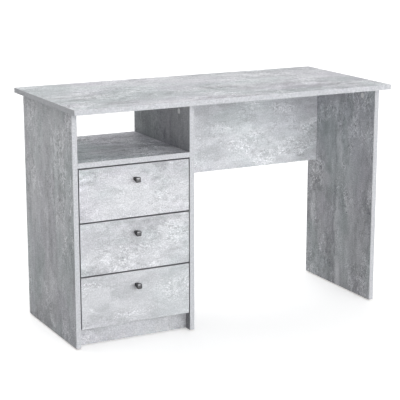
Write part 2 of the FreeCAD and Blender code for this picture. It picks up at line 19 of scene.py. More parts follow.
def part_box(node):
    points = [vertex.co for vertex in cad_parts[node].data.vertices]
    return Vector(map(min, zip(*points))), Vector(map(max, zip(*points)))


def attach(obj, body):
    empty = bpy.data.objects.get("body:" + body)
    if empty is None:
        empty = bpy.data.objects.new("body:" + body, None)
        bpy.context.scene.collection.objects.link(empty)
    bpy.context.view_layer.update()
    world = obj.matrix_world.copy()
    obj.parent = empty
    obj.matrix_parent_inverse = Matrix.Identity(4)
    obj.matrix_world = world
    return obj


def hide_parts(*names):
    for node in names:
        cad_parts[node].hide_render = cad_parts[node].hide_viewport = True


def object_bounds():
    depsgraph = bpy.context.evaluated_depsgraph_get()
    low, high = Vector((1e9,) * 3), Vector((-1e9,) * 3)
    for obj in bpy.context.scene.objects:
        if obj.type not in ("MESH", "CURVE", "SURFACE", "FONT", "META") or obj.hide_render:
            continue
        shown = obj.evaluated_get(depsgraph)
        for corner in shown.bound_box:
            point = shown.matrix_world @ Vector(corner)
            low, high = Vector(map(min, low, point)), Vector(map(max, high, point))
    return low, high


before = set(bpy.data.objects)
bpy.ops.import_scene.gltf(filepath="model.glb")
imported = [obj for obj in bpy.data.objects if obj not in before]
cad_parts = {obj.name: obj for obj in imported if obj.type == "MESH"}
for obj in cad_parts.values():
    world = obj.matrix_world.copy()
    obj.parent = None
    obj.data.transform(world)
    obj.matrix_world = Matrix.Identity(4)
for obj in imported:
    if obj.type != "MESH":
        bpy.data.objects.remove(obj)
cad_low, cad_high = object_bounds()

log = logging.getLogger("writing_desk")

Colour = tuple[float, float, float, float]
Point = tuple[float, float, float]
Outline = list[tuple[float, float]]

DRAWERS = ("top", "middle", "bottom")
MILLIMETRE = 0.001


def tone(red: int, green: int, blue: int) -> Colour:
    """Turns a colour as a screen shows it into the linear colour that shaders take.

    Args:
        red: Red from 0 to 255.
        green: Green from 0 to 255.
        blue: Blue from 0 to 255.

    Returns:
        The linear colour, opaque.
    """
    shares = (channel / 255 for channel in (red, green, blue))
    linear = (s / 12.92 if s < 0.04045 else ((s + 0.055) / 1.055) ** 2.4 for s in shares)
    return (*linear, 1.0)


WHITE = tone(255, 255, 255)


class Axis(Enum):
    """An axis of the desk's frame."""

    X = 0
    Y = 1
    Z = 2


class Socket(Enum):
    """What a group's socket carries."""

    VALUE = "NodeSocketFloat"
    VECTOR = "NodeSocketVector"
    COLOUR = "NodeSocketColor"


# Wiring of shader nodes


class Wiring:
    """Adds nodes to one shader tree and joins their sockets."""

    def __init__(self, tree: bpy.types.NodeTree) -> None:
        """Starts with an empty tree.

        Args:
            tree: The tree of a material, a world or a group.
        """
        self.tree = tree
        tree.nodes.clear()

    def feed(self, socket: bpy.types.NodeSocket, value: Any) -> None:
        """Links a socket to another one, or sets its value.

        Args:
            socket: The input to set.
            value: An output socket, a number, a vector or a colour.
        """
        if isinstance(value, bpy.types.NodeSocket):
            self.tree.links.new(value, socket)
        else:
            socket.default_value = value

    def add(
        self, kind: str, inputs: dict[str | int, Any] | None = None, **settings: Any
    ) -> bpy.types.Node:
        """Adds a node.

        Args:
            kind: The node's type name, without ShaderNode in front for a shader node.
            inputs: Values or sockets for its inputs, by name or number.
            **settings: The node's own properties.

        Returns:
            The node.
        """
        node = self.tree.nodes.new(kind if kind.startswith("Node") else f"ShaderNode{kind}")
        for name, value in settings.items():
            setattr(node, name, value)
        for name, value in (inputs or {}).items():
            self.feed(node.inputs[name], value)
        return node

    def maths(
        self, operation: str, first: Any, *others: Any, clamp: bool = False
    ) -> bpy.types.NodeSocket:
        """Works out a number from one or more others, two at a time.

        Args:
            operation: The Math node's operation.
            first: The first number.
            *others: The other numbers, with none for an operation on one number.
            clamp: Whether each result is kept between 0 and 1.

        Returns:
            The result.
        """
        result = first
        for other in others or (0.0,):
            inputs = {0: result, 1: other}
            result = self.add("Math", inputs, operation=operation, use_clamp=clamp).outputs[0]
        return result

    def total(self, *values: Any) -> bpy.types.NodeSocket:
        """Adds numbers up."""
        return self.maths("ADD", *values)

    def product(self, *values: Any, clamp: bool = False) -> bpy.types.NodeSocket:
        """Multiplies numbers, and may keep each product between 0 and 1."""
        return self.maths("MULTIPLY", *values, clamp=clamp)

    def highest(self, *values: Any) -> bpy.types.NodeSocket:
        """Takes the highest of some numbers."""
        return self.maths("MAXIMUM", *values)

    def near(self, value: Any, middle: float, outer: float, inner: float) -> bpy.types.NodeSocket:
        """Falls smoothly from 1 within inner of a middle value to 0 at outer from it."""
        away = self.maths("ABSOLUTE", self.maths("SUBTRACT", value, middle))
        return self.rise(away, outer, inner)

    def vector(self, operation: str, *values: Any) -> bpy.types.NodeSocket:
        """Works out a vector with the Vector Math node's operation."""
        return self.add("VectorMath", dict(enumerate(values)), operation=operation).outputs[0]

    def scaled(self, vector: Any, factor: Any) -> bpy.types.NodeSocket:
        """Multiplies a vector or a colour by a number."""
        return self.add("VectorMath", {0: vector, "Scale": factor}, operation="SCALE").outputs[0]

    def split(self, vector: Any) -> bpy.types.bpy_prop_collection:
        """Gives a vector's three parts."""
        return self.add("SeparateXYZ", {"Vector": vector}).outputs

    def join(self, *parts: Any) -> bpy.types.NodeSocket:
        """Makes a vector of up to three parts, the others 0."""
        return self.add("CombineXYZ", dict(enumerate(parts))).outputs[0]

    def rise(self, value: Any, low: float, high: float, top: Any = 1.0) -> bpy.types.NodeSocket:
        """Rises smoothly from 0 to top as a value goes from low to high."""
        inputs = {"Value": value, "From Min": low, "From Max": high, "To Max": top}
        return self.add("MapRange", inputs, interpolation_type="SMOOTHSTEP").outputs["Result"]

    def between(self, value: Any, low: float, high: float) -> bpy.types.NodeSocket:
        """Spreads a value from 0 to 1 over the range from low to high in proportion."""
        inputs = {"Value": value, "To Min": low, "To Max": high}
        return self.add("MapRange", inputs).outputs["Result"]

    def blend(self, share: Any, first: Any, second: Any, how: str = "MIX") -> bpy.types.NodeSocket:
        """Blends two colours.

        Args:
            share: How much of the second colour there is, from 0 to 1.
            first: The first colour.
            second: The second colour.
            how: The Mix node's blend type.

        Returns:
            The blended colour.
        """
        node = self.add("Mix", data_type="RGBA", blend_type=how)
        self.feed(node.inputs[0], share)
        self.feed(node.inputs[6], first)
        self.feed(node.inputs[7], second)
        return node.outputs[2]

    def stretch(self, place: Any, scale: Point, shift: float = 0.0) -> bpy.types.NodeSocket:
        """Scales and moves the place where a pattern is read."""
        inputs = {"Vector": place, "Location": (shift, shift, shift), "Scale": scale}
        return self.add("Mapping", inputs).outputs["Vector"]

    def noise(
        self, place: Any, scale: Any, detail: float = 2.0, roughness: float = 0.5
    ) -> bpy.types.Node:
        """Adds a cloudy noise.

        Args:
            place: Where the pattern is read.
            scale: How many clouds there are to a metre.
            detail: How many finer layers it has.
            roughness: How strong each finer layer is beside the one before.

        Returns:
            The node.
        """
        inputs = {"Vector": place, "Scale": scale, "Detail": detail, "Roughness": roughness}
        return self.add("TexNoise", inputs)

    def cloud(
        self, place: Any, scale: Any, detail: float = 2.0, roughness: float = 0.5
    ) -> bpy.types.NodeSocket:
        """Gives a cloudy noise as one number, around 0.5."""
        return self.noise(place, scale, detail, roughness).outputs["Fac"]

    def specks(self, place: Any, scale: float, radius: float, share: float) -> bpy.types.NodeSocket:
        """Scatters round specks.

        Args:
            place: Where the pattern is read.
            scale: How many cells there are to a metre.
            radius: A speck's radius in cells.
            share: The share of the cells that have a speck.

        Returns:
            A mask, 1 in the specks.
        """
        cells = self.add("TexVoronoi", {"Vector": place, "Scale": scale})
        inside = self.rise(cells.outputs["Distance"], radius, radius * 0.5)
        drawn = self.add("SeparateColor", {"Color": cells.outputs["Color"]}).outputs[0]
        return self.product(inside, self.maths("LESS_THAN", drawn, share))


class Group:
    """A shader effect with named sockets, built once and placed in many materials."""

    def __init__(self, name: str, inputs: dict[str, Socket], outputs: dict[str, Socket]) -> None:
        """Makes the group and its sockets.

        Args:
            name: The group's name.
            inputs: What each input carries.
            outputs: What each output carries.
        """
        self.tree = bpy.data.node_groups.new(name, "ShaderNodeTree")
        self.wiring = Wiring(self.tree)
        for label, kind in inputs.items():
            self.tree.interface.new_socket(label, in_out="INPUT", socket_type=kind.value)
        for label, kind in outputs.items():
            self.tree.interface.new_socket(label, in_out="OUTPUT", socket_type=kind.value)
        self.inputs = self.wiring.add("NodeGroupInput").outputs
        self._end = self.wiring.add("NodeGroupOutput").inputs

    def put_out(self, **values: bpy.types.NodeSocket) -> None:
        """Joins the group's outputs, named with underscores for spaces."""
        for label, value in values.items():
            self.wiring.feed(self._end[label.replace("_", " ")], value)

    def place(self, wiring: Wiring, inputs: dict[str, Any]) -> bpy.types.bpy_prop_collection:
        """Places the group in another tree.

        Args:
            wiring: The tree that uses the effect.
            inputs: Values or sockets for the group's inputs.

        Returns:
            The placed group's outputs.
        """
        node = wiring.add("Group", node_tree=self.tree)
        for label, value in inputs.items():
            wiring.feed(node.inputs[label], value)
        return node.outputs


# Effects that several finishes share


class Effects:
    """Every shared effect, built once."""

    def __init__(self) -> None:
        """Builds the groups."""
        self.board_edges = self._board_edges()
        self.edge_wear = self._edge_wear()
        self.mottle = self._mottle()
        self.scratches = self._scratches()
        self.concrete_print = ConcretePrint().group
        self.edge_band = self._edge_band()
        self.chipboard = self._chipboard()

    @staticmethod
    def _board_edges() -> Group:
        """Builds the effect that tells how far a point on a board is from the board's nearest edge.

        Returns:
            The group.
        """
        group = Group(
            "board_edges",
            {"Place": Socket.VECTOR, "Centre": Socket.VECTOR, "Half Size": Socket.VECTOR},
            {"Distance": Socket.VALUE},
        )
        w = group.wiring
        offset = w.vector("SUBTRACT", group.inputs["Place"], group.inputs["Centre"])
        inward = w.vector("SUBTRACT", group.inputs["Half Size"], w.vector("ABSOLUTE", offset))
        x, y, z = w.split(inward)
        least = w.maths("MINIMUM", x, y, z)
        middle = w.maths("SUBTRACT", w.total(x, y, z), least, w.highest(x, y, z))
        group.put_out(Distance=w.highest(middle, 0.0))
        return group

    @staticmethod
    def _edge_wear() -> Group:
        """Builds a broken line of wear along an edge.

        Returns:
            The group.
        """
        group = Group(
            "edge_wear",
            {
                "Place": Socket.VECTOR,
                "Distance": Socket.VALUE,
                "Width": Socket.VALUE,
                "Amount": Socket.VALUE,
            },
            {"Mask": Socket.VALUE},
        )
        w = group.wiring
        long_breaks = w.cloud(group.inputs["Place"], 11.0, detail=3.0)
        short_breaks = w.cloud(group.inputs["Place"], 240.0, detail=4.0, roughness=0.7)
        reach = w.product(group.inputs["Width"], w.rise(long_breaks, 0.4, 0.7))
        least_reach = 0.01 * MILLIMETRE
        share = w.maths("DIVIDE", group.inputs["Distance"], w.highest(reach, least_reach))
        edge = w.rise(w.total(share, w.between(short_breaks, -0.7, 0.7)), 1.0, 0.2)
        group.put_out(Mask=w.product(edge, group.inputs["Amount"]))
        return group

    @staticmethod
    def _mottle() -> Group:
        """Builds the slight unevenness of moulded plastic and of paint.

        Returns:
            The group.
        """
        group = Group(
            "mottle",
            {"Place": Socket.VECTOR, "Scale": Socket.VALUE},
            {"Shade": Socket.VALUE, "Height": Socket.VALUE},
        )
        w = group.wiring
        broad = w.cloud(group.inputs["Place"], 30.0, detail=3.0)
        fine = w.cloud(group.inputs["Place"], group.inputs["Scale"], detail=3.0, roughness=0.6)
        shade = w.total(w.product(broad, 0.6), w.product(fine, 0.4))
        group.put_out(Shade=shade, Height=fine)
        return group

    @staticmethod
    def _scratches() -> Group:
        """Builds short hair scratches that cross at all angles.

        Returns:
            The group.
        """
        group = Group(
            "scratches",
            {"Place": Socket.VECTOR, "Scale": Socket.VALUE, "Share": Socket.VALUE},
            {"Mask": Socket.VALUE},
        )
        w = group.wiring
        lines = []
        for turn in (0.4, 1.5, 2.6):
            turned_place = w.add("Mapping", {
                "Vector": group.inputs["Place"],
                "Rotation": (turn, turn * 0.7, turn * 1.3),
                "Scale": (1.0, 14.0, 14.0),
            }).outputs["Vector"]
            hair = w.cloud(turned_place, group.inputs["Scale"])
            lines.append(w.near(hair, 0.5, outer=0.012, inner=0.002))
        broken = w.rise(w.cloud(group.inputs["Place"], 60.0), 0.5, 0.62)
        group.put_out(Mask=w.product(w.highest(*lines), broken, group.inputs["Share"]))
        return group

    @staticmethod
    def _edge_band() -> Group:
        """Builds the paler band on a board's edges, finely speckled like the print's own grit, times a
        tint that is painted shade on the drawer fronts.

        Returns:
            The group.
        """
        group = Group(
            "edge_band",
            {"Place": Socket.VECTOR, "Tint": Socket.COLOUR},
            {"Color": Socket.COLOUR, "Height": Socket.VALUE},
        )
        w = group.wiring
        place = group.inputs["Place"]
        speckle = w.cloud(place, 190.0, detail=5.0, roughness=0.7)
        drift = w.cloud(place, 9.0, detail=3.0)
        dots = w.specks(place, 330.0, radius=0.4, share=0.25)
        colour = w.blend(w.rise(speckle, 0.32, 0.68), tone(166, 168, 172), tone(196, 197, 201))
        colour = w.blend(w.rise(drift, 0.4, 0.7, 0.35), colour, tone(172, 175, 179))
        colour = w.blend(w.product(dots, 0.45), colour, tone(140, 142, 146))
        # A grey tint makes the band darker: on the drawer fronts this is painted shade in the gaps
        # between them.
        group.put_out(Color=w.blend(1.0, colour, group.inputs["Tint"], "MULTIPLY"), Height=speckle)
        return group

    @staticmethod
    def _chipboard() -> Group:
        """Builds the raw core of a board, where no band covers it.

        Returns:
            The group.
        """
        group = Group(
            "chipboard", {"Place": Socket.VECTOR}, {"Color": Socket.COLOUR, "Height": Socket.VALUE}
        )
        w = group.wiring
        flat = w.stretch(group.inputs["Place"], (1.0, 1.4, 2.2))
        cells = w.add("TexVoronoi", {"Vector": flat, "Scale": 300.0})
        chip = w.add("SeparateColor", {"Color": cells.outputs["Color"]}).outputs[0]
        fibre = w.cloud(group.inputs["Place"], 900.0, detail=3.0)
        colour = w.blend(chip, tone(128, 98, 66), tone(196, 166, 124))
        colour = w.blend(w.rise(fibre, 0.5, 0.75, 0.5), colour, tone(96, 70, 46))
        group.put_out(Color=colour, Height=w.total(chip, fibre))
        return group


@dataclass(frozen=True)
class Patches:
    """Ragged patches in the concrete print, stretched along the trowel's strokes.

    Attributes:
        scale: How many there are to a metre.
        shift: Where their noise is read, so that no two kinds of patch match.
        low: The noise at which a patch begins.
        high: The noise at which it is whole.
        squash: How much shorter than their noise they are read along the strokes.
    """

    scale: float
    shift: float
    low: float
    high: float
    squash: float = 0.6


class ConcretePrint:
    """The printed picture of trowelled concrete, read with X along the trowel's strokes."""

    CLOUDS = Patches(scale=4.5, shift=0.0, low=0.38, high=0.62)
    SLABS = Patches(scale=8.0, shift=3.7, low=0.49, high=0.53, squash=0.4)
    SKINS = Patches(scale=19.0, shift=7.3, low=0.5, high=0.54, squash=0.5)
    CRUSTS = Patches(scale=44.0, shift=13.1, low=0.5, high=0.56, squash=0.7)
    BUSY = Patches(scale=8.0, shift=17.9, low=0.44, high=0.6, squash=0.7)
    DAMP = Patches(scale=5.0, shift=11.0, low=0.46, high=0.6)
    DUSK = Patches(scale=6.0, shift=23.0, low=0.48, high=0.62)
    FLECKED = Patches(scale=15.0, shift=31.0, low=0.44, high=0.58)
    PITTED = Patches(scale=13.0, shift=47.0, low=0.44, high=0.58)
    VEINED = Patches(scale=9.0, shift=53.0, low=0.4, high=0.56, squash=0.4)
    MIDDLE = tone(179, 181, 184)[:3]
    DARKEST = (0.02, 0.02, 0.02)

    def __init__(self) -> None:
        """Builds the group."""
        self.group = Group(
            "concrete_print",
            {
                "Place": Socket.VECTOR,
                "Flecks": Socket.VALUE,
                "Strokes": Socket.VALUE,
                "Contrast": Socket.VALUE,
                "Vein Across": Socket.VALUE,
                "Vein": Socket.VALUE,
                "Shade": Socket.VALUE,
            },
            {"Color": Socket.COLOUR, "Roughness": Socket.VALUE, "Height": Socket.VALUE},
        )
        self.w = self.group.wiring
        w = self.w
        self.place = self.group.inputs["Place"]
        swirl = w.noise(self.place, 16.0, detail=5.0, roughness=0.65).outputs["Color"]
        wander = w.vector("MULTIPLY", w.vector("SUBTRACT", swirl, (0.5, 0.5, 0.5)), (0.06, 0.04, 0.04))
        self.ragged = w.vector("ADD", self.place, wander)
        self.busy = w.total(self.patches(self.BUSY), 0.3)
        skins = self.patches(self.SKINS)
        stroke = w.cloud(self.drawn_out(self.ragged, 0.12, shift=3.1), 44.0, detail=6.0, roughness=0.6)
        pits = self.pits()
        grit = w.cloud(self.place, 260.0, detail=3.0, roughness=0.75)

        colour = self.shade(self.ground(skins), stroke)
        flecked = w.product(self.flecks(), self.group.inputs["Flecks"])
        colour = w.blend(flecked, colour, tone(234, 235, 238))
        pitted = w.product(pits, self.group.inputs["Flecks"], 0.8)
        colour = self.veins(w.blend(pitted, colour, tone(136, 138, 142)))
        grain = w.blend(w.rise(grit, 0.3, 0.7), tone(140, 142, 145), tone(240, 241, 243))
        colour = self.contrast(w.blend(0.36, colour, grain, "OVERLAY"))
        relief = w.maths("SUBTRACT", w.total(w.product(skins, 0.5), w.product(stroke, 0.4)), pits)
        # The Shade input scales the colour per board, as painted light and shade for how each board is
        # lit.
        self.group.put_out(
            Color=w.scaled(colour, self.group.inputs["Shade"]),
            Roughness=w.between(skins, 0.5, 0.58),
            Height=w.total(relief, grit),
        )

    def drawn_out(self, place: Any, squash: float, shift: float) -> bpy.types.NodeSocket:
        """Gives the place to read a pattern that is drawn out along the strokes."""
        return self.w.stretch(place, (squash, 1.0, 1.0), shift)

    def patches(self, kind: Patches) -> bpy.types.NodeSocket:
        """Gives a mask of one kind of patch."""
        place = self.drawn_out(self.ragged, kind.squash, shift=kind.shift)
        cloud = self.w.cloud(place, kind.scale, detail=8.0, roughness=0.62)
        return self.w.rise(cloud, kind.low, kind.high)

    def ground(self, skins: bpy.types.NodeSocket) -> bpy.types.NodeSocket:
        """Lays the tones of the trowelled layers over each other.

        Args:
            skins: The mask of the thin pale skins.

        Returns:
            The colour.
        """
        w = self.w
        colour = w.blend(self.patches(self.CLOUDS), tone(163, 164, 167), tone(187, 188, 191))
        layers = (
            (self.patches(self.SLABS), 0.3, tone(199, 200, 203)),
            (skins, 0.34, tone(206, 207, 210)),
            (w.product(self.patches(self.CRUSTS), self.busy), 0.3, tone(160, 161, 164)),
            (self.patches(self.DAMP), 0.34, tone(177, 186, 186)),
            (self.patches(self.DUSK), 0.4, tone(185, 183, 190)),
        )
        for mask, strength, layer in layers:
            colour = w.blend(w.product(mask, strength), colour, layer)
        return colour

    def shade(self, colour: bpy.types.NodeSocket, stroke: bpy.types.NodeSocket) -> bpy.types.NodeSocket:
        """Shades a colour by the trowel's strokes and by a rough mix of sand.

        Args:
            colour: The colour.
            stroke: The noise of the broad strokes.

        Returns:
            The shaded colour.
        """
        w = self.w
        hairline = w.cloud(self.drawn_out(self.place, 0.06, shift=5.7), 200.0, detail=3.0)
        thin = w.product(w.between(hairline, -0.5, 0.5), 0.5)
        streaks = w.total(w.between(stroke, -0.5, 0.5), thin)
        sand = w.cloud(self.drawn_out(self.ragged, 0.5, shift=9.9), 62.0, detail=8.0, roughness=0.86)
        rough_mix = w.total(w.product(w.between(sand, -0.85, 0.85), self.busy), 1.0)
        level = w.total(w.product(streaks, self.group.inputs["Strokes"]), rough_mix)
        return w.blend(1.0, colour, w.join(level, level, level), "MULTIPLY")

    def flecks(self) -> bpy.types.NodeSocket:
        """Gives a mask of pale curls, flakes and grains, in clusters.

        Returns:
            The mask.
        """
        w = self.w
        curl = w.cloud(self.drawn_out(self.ragged, 0.6, shift=2.2), 60.0, detail=6.0, roughness=0.7)
        flakes = w.specks(self.drawn_out(self.ragged, 0.5, shift=1.9), 170.0, radius=0.5, share=0.28)
        grains = w.specks(self.drawn_out(self.place, 0.7, shift=4.9), 290.0, radius=0.5, share=0.35)
        marks = w.highest(w.near(curl, 0.5, outer=0.022, inner=0.006), grains, flakes)
        cluster = w.product(self.patches(self.FLECKED), self.busy, clamp=True)
        return w.product(marks, cluster)

    def pits(self) -> bpy.types.NodeSocket:
        """Gives a mask of small and large pits, in clusters.

        Returns:
            The mask.
        """
        w = self.w
        small = w.specks(self.drawn_out(self.place, 0.7, shift=8.3), 230.0, radius=0.48, share=0.35)
        large = w.specks(self.drawn_out(self.ragged, 0.6, shift=6.1), 140.0, radius=0.42, share=0.22)
        cluster = w.product(self.patches(self.PITTED), self.busy, clamp=True)
        return w.product(w.highest(small, large), cluster)

    def veins(self, colour: bpy.types.NodeSocket) -> bpy.types.NodeSocket:
        """Draws the long vein, a pale ridge with a dark lee beside it.

        Args:
            colour: The colour under it.

        Returns:
            The colour with the vein.
        """
        w = self.w
        along, across, _ = w.split(self.ragged)
        wander = w.between(w.cloud(w.join(along), 5.0, detail=3.0), -0.05, 0.05)
        side = w.maths("SUBTRACT", across, w.total(self.group.inputs["Vein Across"], wander))
        drawn = w.product(self.group.inputs["Vein"], self.patches(self.VEINED))
        ridge = w.product(w.near(side, 0.0, outer=0.024, inner=0.002), drawn)
        lee = w.product(w.near(side, 0.022, outer=0.012, inner=0.001), drawn, 0.7)
        return w.blend(lee, w.blend(ridge, colour, tone(214, 215, 218)), tone(146, 148, 151))

    def contrast(self, colour: bpy.types.NodeSocket) -> bpy.types.NodeSocket:
        """Moves a colour away from the middle tone by the group's contrast.

        Args:
            colour: The colour.

        Returns:
            The colour with its contrast.
        """
        w = self.w
        away = w.scaled(w.vector("SUBTRACT", colour, self.MIDDLE), self.group.inputs["Contrast"])
        return w.vector("MAXIMUM", w.vector("ADD", away, self.MIDDLE), self.DARKEST)


class Coat:
    """A new material with its place, its surface shader and its bump, ready for a finish to colour."""

    def __init__(self, name: str, roughness: float, metallic: float = 0.0, **constants: float) -> None:
        """Makes the material.

        Args:
            name: The material's name.
            roughness: How rough it is where a finish doesn't vary it.
            metallic: 1 for bare metal.
            **constants: More of the shader's inputs, with underscores for spaces.
        """
        self.material = bpy.data.materials.new(name)
        self.material.use_nodes = True
        self.wiring = Wiring(self.material.node_tree)
        coordinates = self.wiring.add("TexCoord").outputs
        self.place = coordinates["Object"]
        self.normal = coordinates["Normal"]
        inputs = {"Roughness": roughness, "Metallic": metallic}
        self.shader = self.wiring.add("BsdfPrincipled", inputs)
        for label, value in constants.items():
            self.shader.inputs[label.replace("_", " ")].default_value = value
        self.wiring.add("OutputMaterial", {"Surface": self.shader.outputs[0]})

    def colour(self, value: Any) -> None:
        """Sets or links the base colour."""
        self.wiring.feed(self.shader.inputs["Base Color"], value)

    def roughness(self, value: Any) -> None:
        """Links a roughness that changes over the surface."""
        self.wiring.feed(self.shader.inputs["Roughness"], value)

    def relief(self, height: Any, depth: float, strength: float = 1.0) -> None:
        """Adds a bump.

        Args:
            height: The height from 0 to 1.
            depth: How deep the bump is in metres.
            strength: The bump's strength from 0 to 1.
        """
        inputs = {"Strength": strength, "Distance": depth, "Height": height}
        bump = self.wiring.add("Bump", inputs)
        self.wiring.feed(self.shader.inputs["Normal"], bump.outputs["Normal"])


# Finishes


def put_on(piece: bpy.types.Object, material: bpy.types.Material) -> None:
    """Makes a material the piece's only one.

    Args:
        piece: The piece.
        material: The material.
    """
    piece.data.materials.clear()
    piece.data.materials.append(material)
    log.info("%s: finished in %s", piece.name, material.name)


@dataclass(frozen=True)
class ConcreteBoard:
    """A board faced with printed concrete and banded on its edges.

    Attributes:
        thickness: The axis across the board's thickness.
        grain: The axis that the trowel's strokes run along.
        cut_at: Where on the print the board was cut, in metres.
        raw: The axis of the edges that have no band, or None.
        flecks: How strongly the white flecks show.
        strokes: How strongly the trowel's strokes show.
        contrast: How far the print's tones stand apart, 1 as printed.
        vein: How strongly the long vein shows.
        vein_across: The vein's place across the grain, on the print.
        shade: A factor on the print's colour: painted light and shade for how the board is lit, darker
            in the bay and lighter under the worktop.
        band: The tint of its edge bands, white where they are as pale as the other boards'; grey on the
            drawer fronts, as painted shade in the gaps between them.
    """

    thickness: Axis
    grain: Axis
    cut_at: Point
    raw: Axis | None = None
    flecks: float = 0.55
    strokes: float = 0.22
    contrast: float = 1.0
    vein: float = 0.0
    vein_across: float = 0.0
    shade: float = 1.0
    band: Colour = WHITE

    FACE_TURN = 0.8
    ROUGHNESS = 0.5
    WORN = tone(222, 223, 226)
    WORN_ROUGHNESS = 0.12
    WEAR_AMOUNT = 0.3
    WEAR_WIDTH = 2.2 * MILLIMETRE
    RELIEF = 0.12 * MILLIMETRE
    RELIEF_STRENGTH = 0.5

    def turn(self) -> Point:
        """Gives the rotation that lays the board's grain along X and its thickness along Z.

        Returns:
            The turns about X, Y and Z.
        """
        quarter = math.pi / 2
        turns = {
            (Axis.X, Axis.Y): (quarter, 0.0, 0.0),
            (Axis.X, Axis.Z): (0.0, 0.0, 0.0),
            (Axis.Z, Axis.X): (0.0, quarter, 0.0),
        }
        return turns[self.grain, self.thickness]

    def side_mask(self, coat: Coat, axis: Axis) -> bpy.types.NodeSocket:
        """Gives a mask that is 1 on the sides which face along an axis."""
        parts = coat.wiring.split(coat.wiring.vector("ABSOLUTE", coat.normal))
        return coat.wiring.maths("GREATER_THAN", parts[axis.value], self.FACE_TURN)

    def dress(self, node: str, effects: Effects) -> None:
        """Gives a CAD board this finish.

        Args:
            node: The board's node.
            effects: The shared effects.
        """
        low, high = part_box(node)
        coat = Coat(f"concrete_{node}", roughness=self.ROUGHNESS, IOR=1.45)
        w = coat.wiring
        sheet = w.add("Mapping", {
            "Vector": coat.place, "Location": self.cut_at, "Rotation": self.turn(),
        }).outputs["Vector"]
        printed = effects.concrete_print.place(w, {
            "Place": sheet,
            "Flecks": self.flecks,
            "Strokes": self.strokes,
            "Contrast": self.contrast,
            "Vein Across": self.vein_across,
            "Vein": self.vein,
            "Shade": self.shade,
        })
        band = effects.edge_band.place(w, {"Place": coat.place, "Tint": self.band})
        face = self.side_mask(coat, self.thickness)
        colour = w.blend(face, band["Color"], printed["Color"])
        if self.raw:
            core = effects.chipboard.place(w, {"Place": coat.place})
            colour = w.blend(self.side_mask(coat, self.raw), colour, core["Color"])
        edges = effects.board_edges.place(w, {
            "Place": coat.place, "Centre": (low + high) / 2, "Half Size": (high - low) / 2,
        })
        wear = effects.edge_wear.place(w, {
            "Place": coat.place,
            "Distance": edges["Distance"],
            "Width": self.WEAR_WIDTH,
            "Amount": self.WEAR_AMOUNT,
        })
        coat.colour(w.blend(wear["Mask"], colour, self.WORN))
        coat.roughness(w.total(printed["Roughness"], w.product(wear["Mask"], self.WORN_ROUGHNESS)))
        coat.relief(w.blend(face, band["Height"], printed["Height"]), self.RELIEF, self.RELIEF_STRENGTH)
        put_on(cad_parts[node], coat.material)


@dataclass(frozen=True)
class PlainCoat:
    """A painted, moulded or metal surface of nearly one colour.

    Attributes:
        name: The finish's name.
        colour: Its colour.
        worn: The colour that shows in its scratches.
        roughness: Its middle roughness.
        metallic: 1 for bare metal.
        grain: How many bumps there are to a metre.
        relief: How deep they are in metres.
        scratch: How strongly scratches show.
        shading: How much the colour varies.
    """

    name: str
    colour: Colour
    worn: Colour
    roughness: float
    metallic: float = 0.0
    grain: float = 900.0
    relief: float = 0.03 * MILLIMETRE
    scratch: float = 0.3
    shading: float = 0.2

    SCRATCH_SCALE = 24.0
    SCRATCH_ROUGHNESS = 0.1
    ROUGHNESS_SPREAD = 0.08

    def material(self, effects: Effects) -> bpy.types.Material:
        """Makes the material, or gives the one already made.

        Args:
            effects: The shared effects.

        Returns:
            The material.
        """
        made = bpy.data.materials.get(self.name)
        if made:
            return made
        coat = Coat(self.name, roughness=self.roughness, metallic=self.metallic)
        w = coat.wiring
        mottle = effects.mottle.place(w, {"Place": coat.place, "Scale": self.grain})
        hairs = effects.scratches.place(w, {
            "Place": coat.place, "Scale": self.SCRATCH_SCALE, "Share": self.scratch,
        })["Mask"]
        dark = tuple(channel * (1 - self.shading) for channel in self.colour[:3])
        colour = w.blend(w.rise(mottle["Shade"], 0.35, 0.65), (*dark, 1.0), self.colour)
        coat.colour(w.blend(hairs, colour, self.worn))
        low, high = self.roughness - self.ROUGHNESS_SPREAD, self.roughness + self.ROUGHNESS_SPREAD
        roughness = w.between(mottle["Shade"], low, high)
        coat.roughness(w.total(roughness, w.product(hairs, self.SCRATCH_ROUGHNESS)))
        coat.relief(w.maths("SUBTRACT", mottle["Height"], hairs), self.relief)
        return coat.material

    def dress(self, node: str, effects: Effects) -> None:
        """Gives a CAD node this finish."""
        put_on(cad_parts[node], self.material(effects))


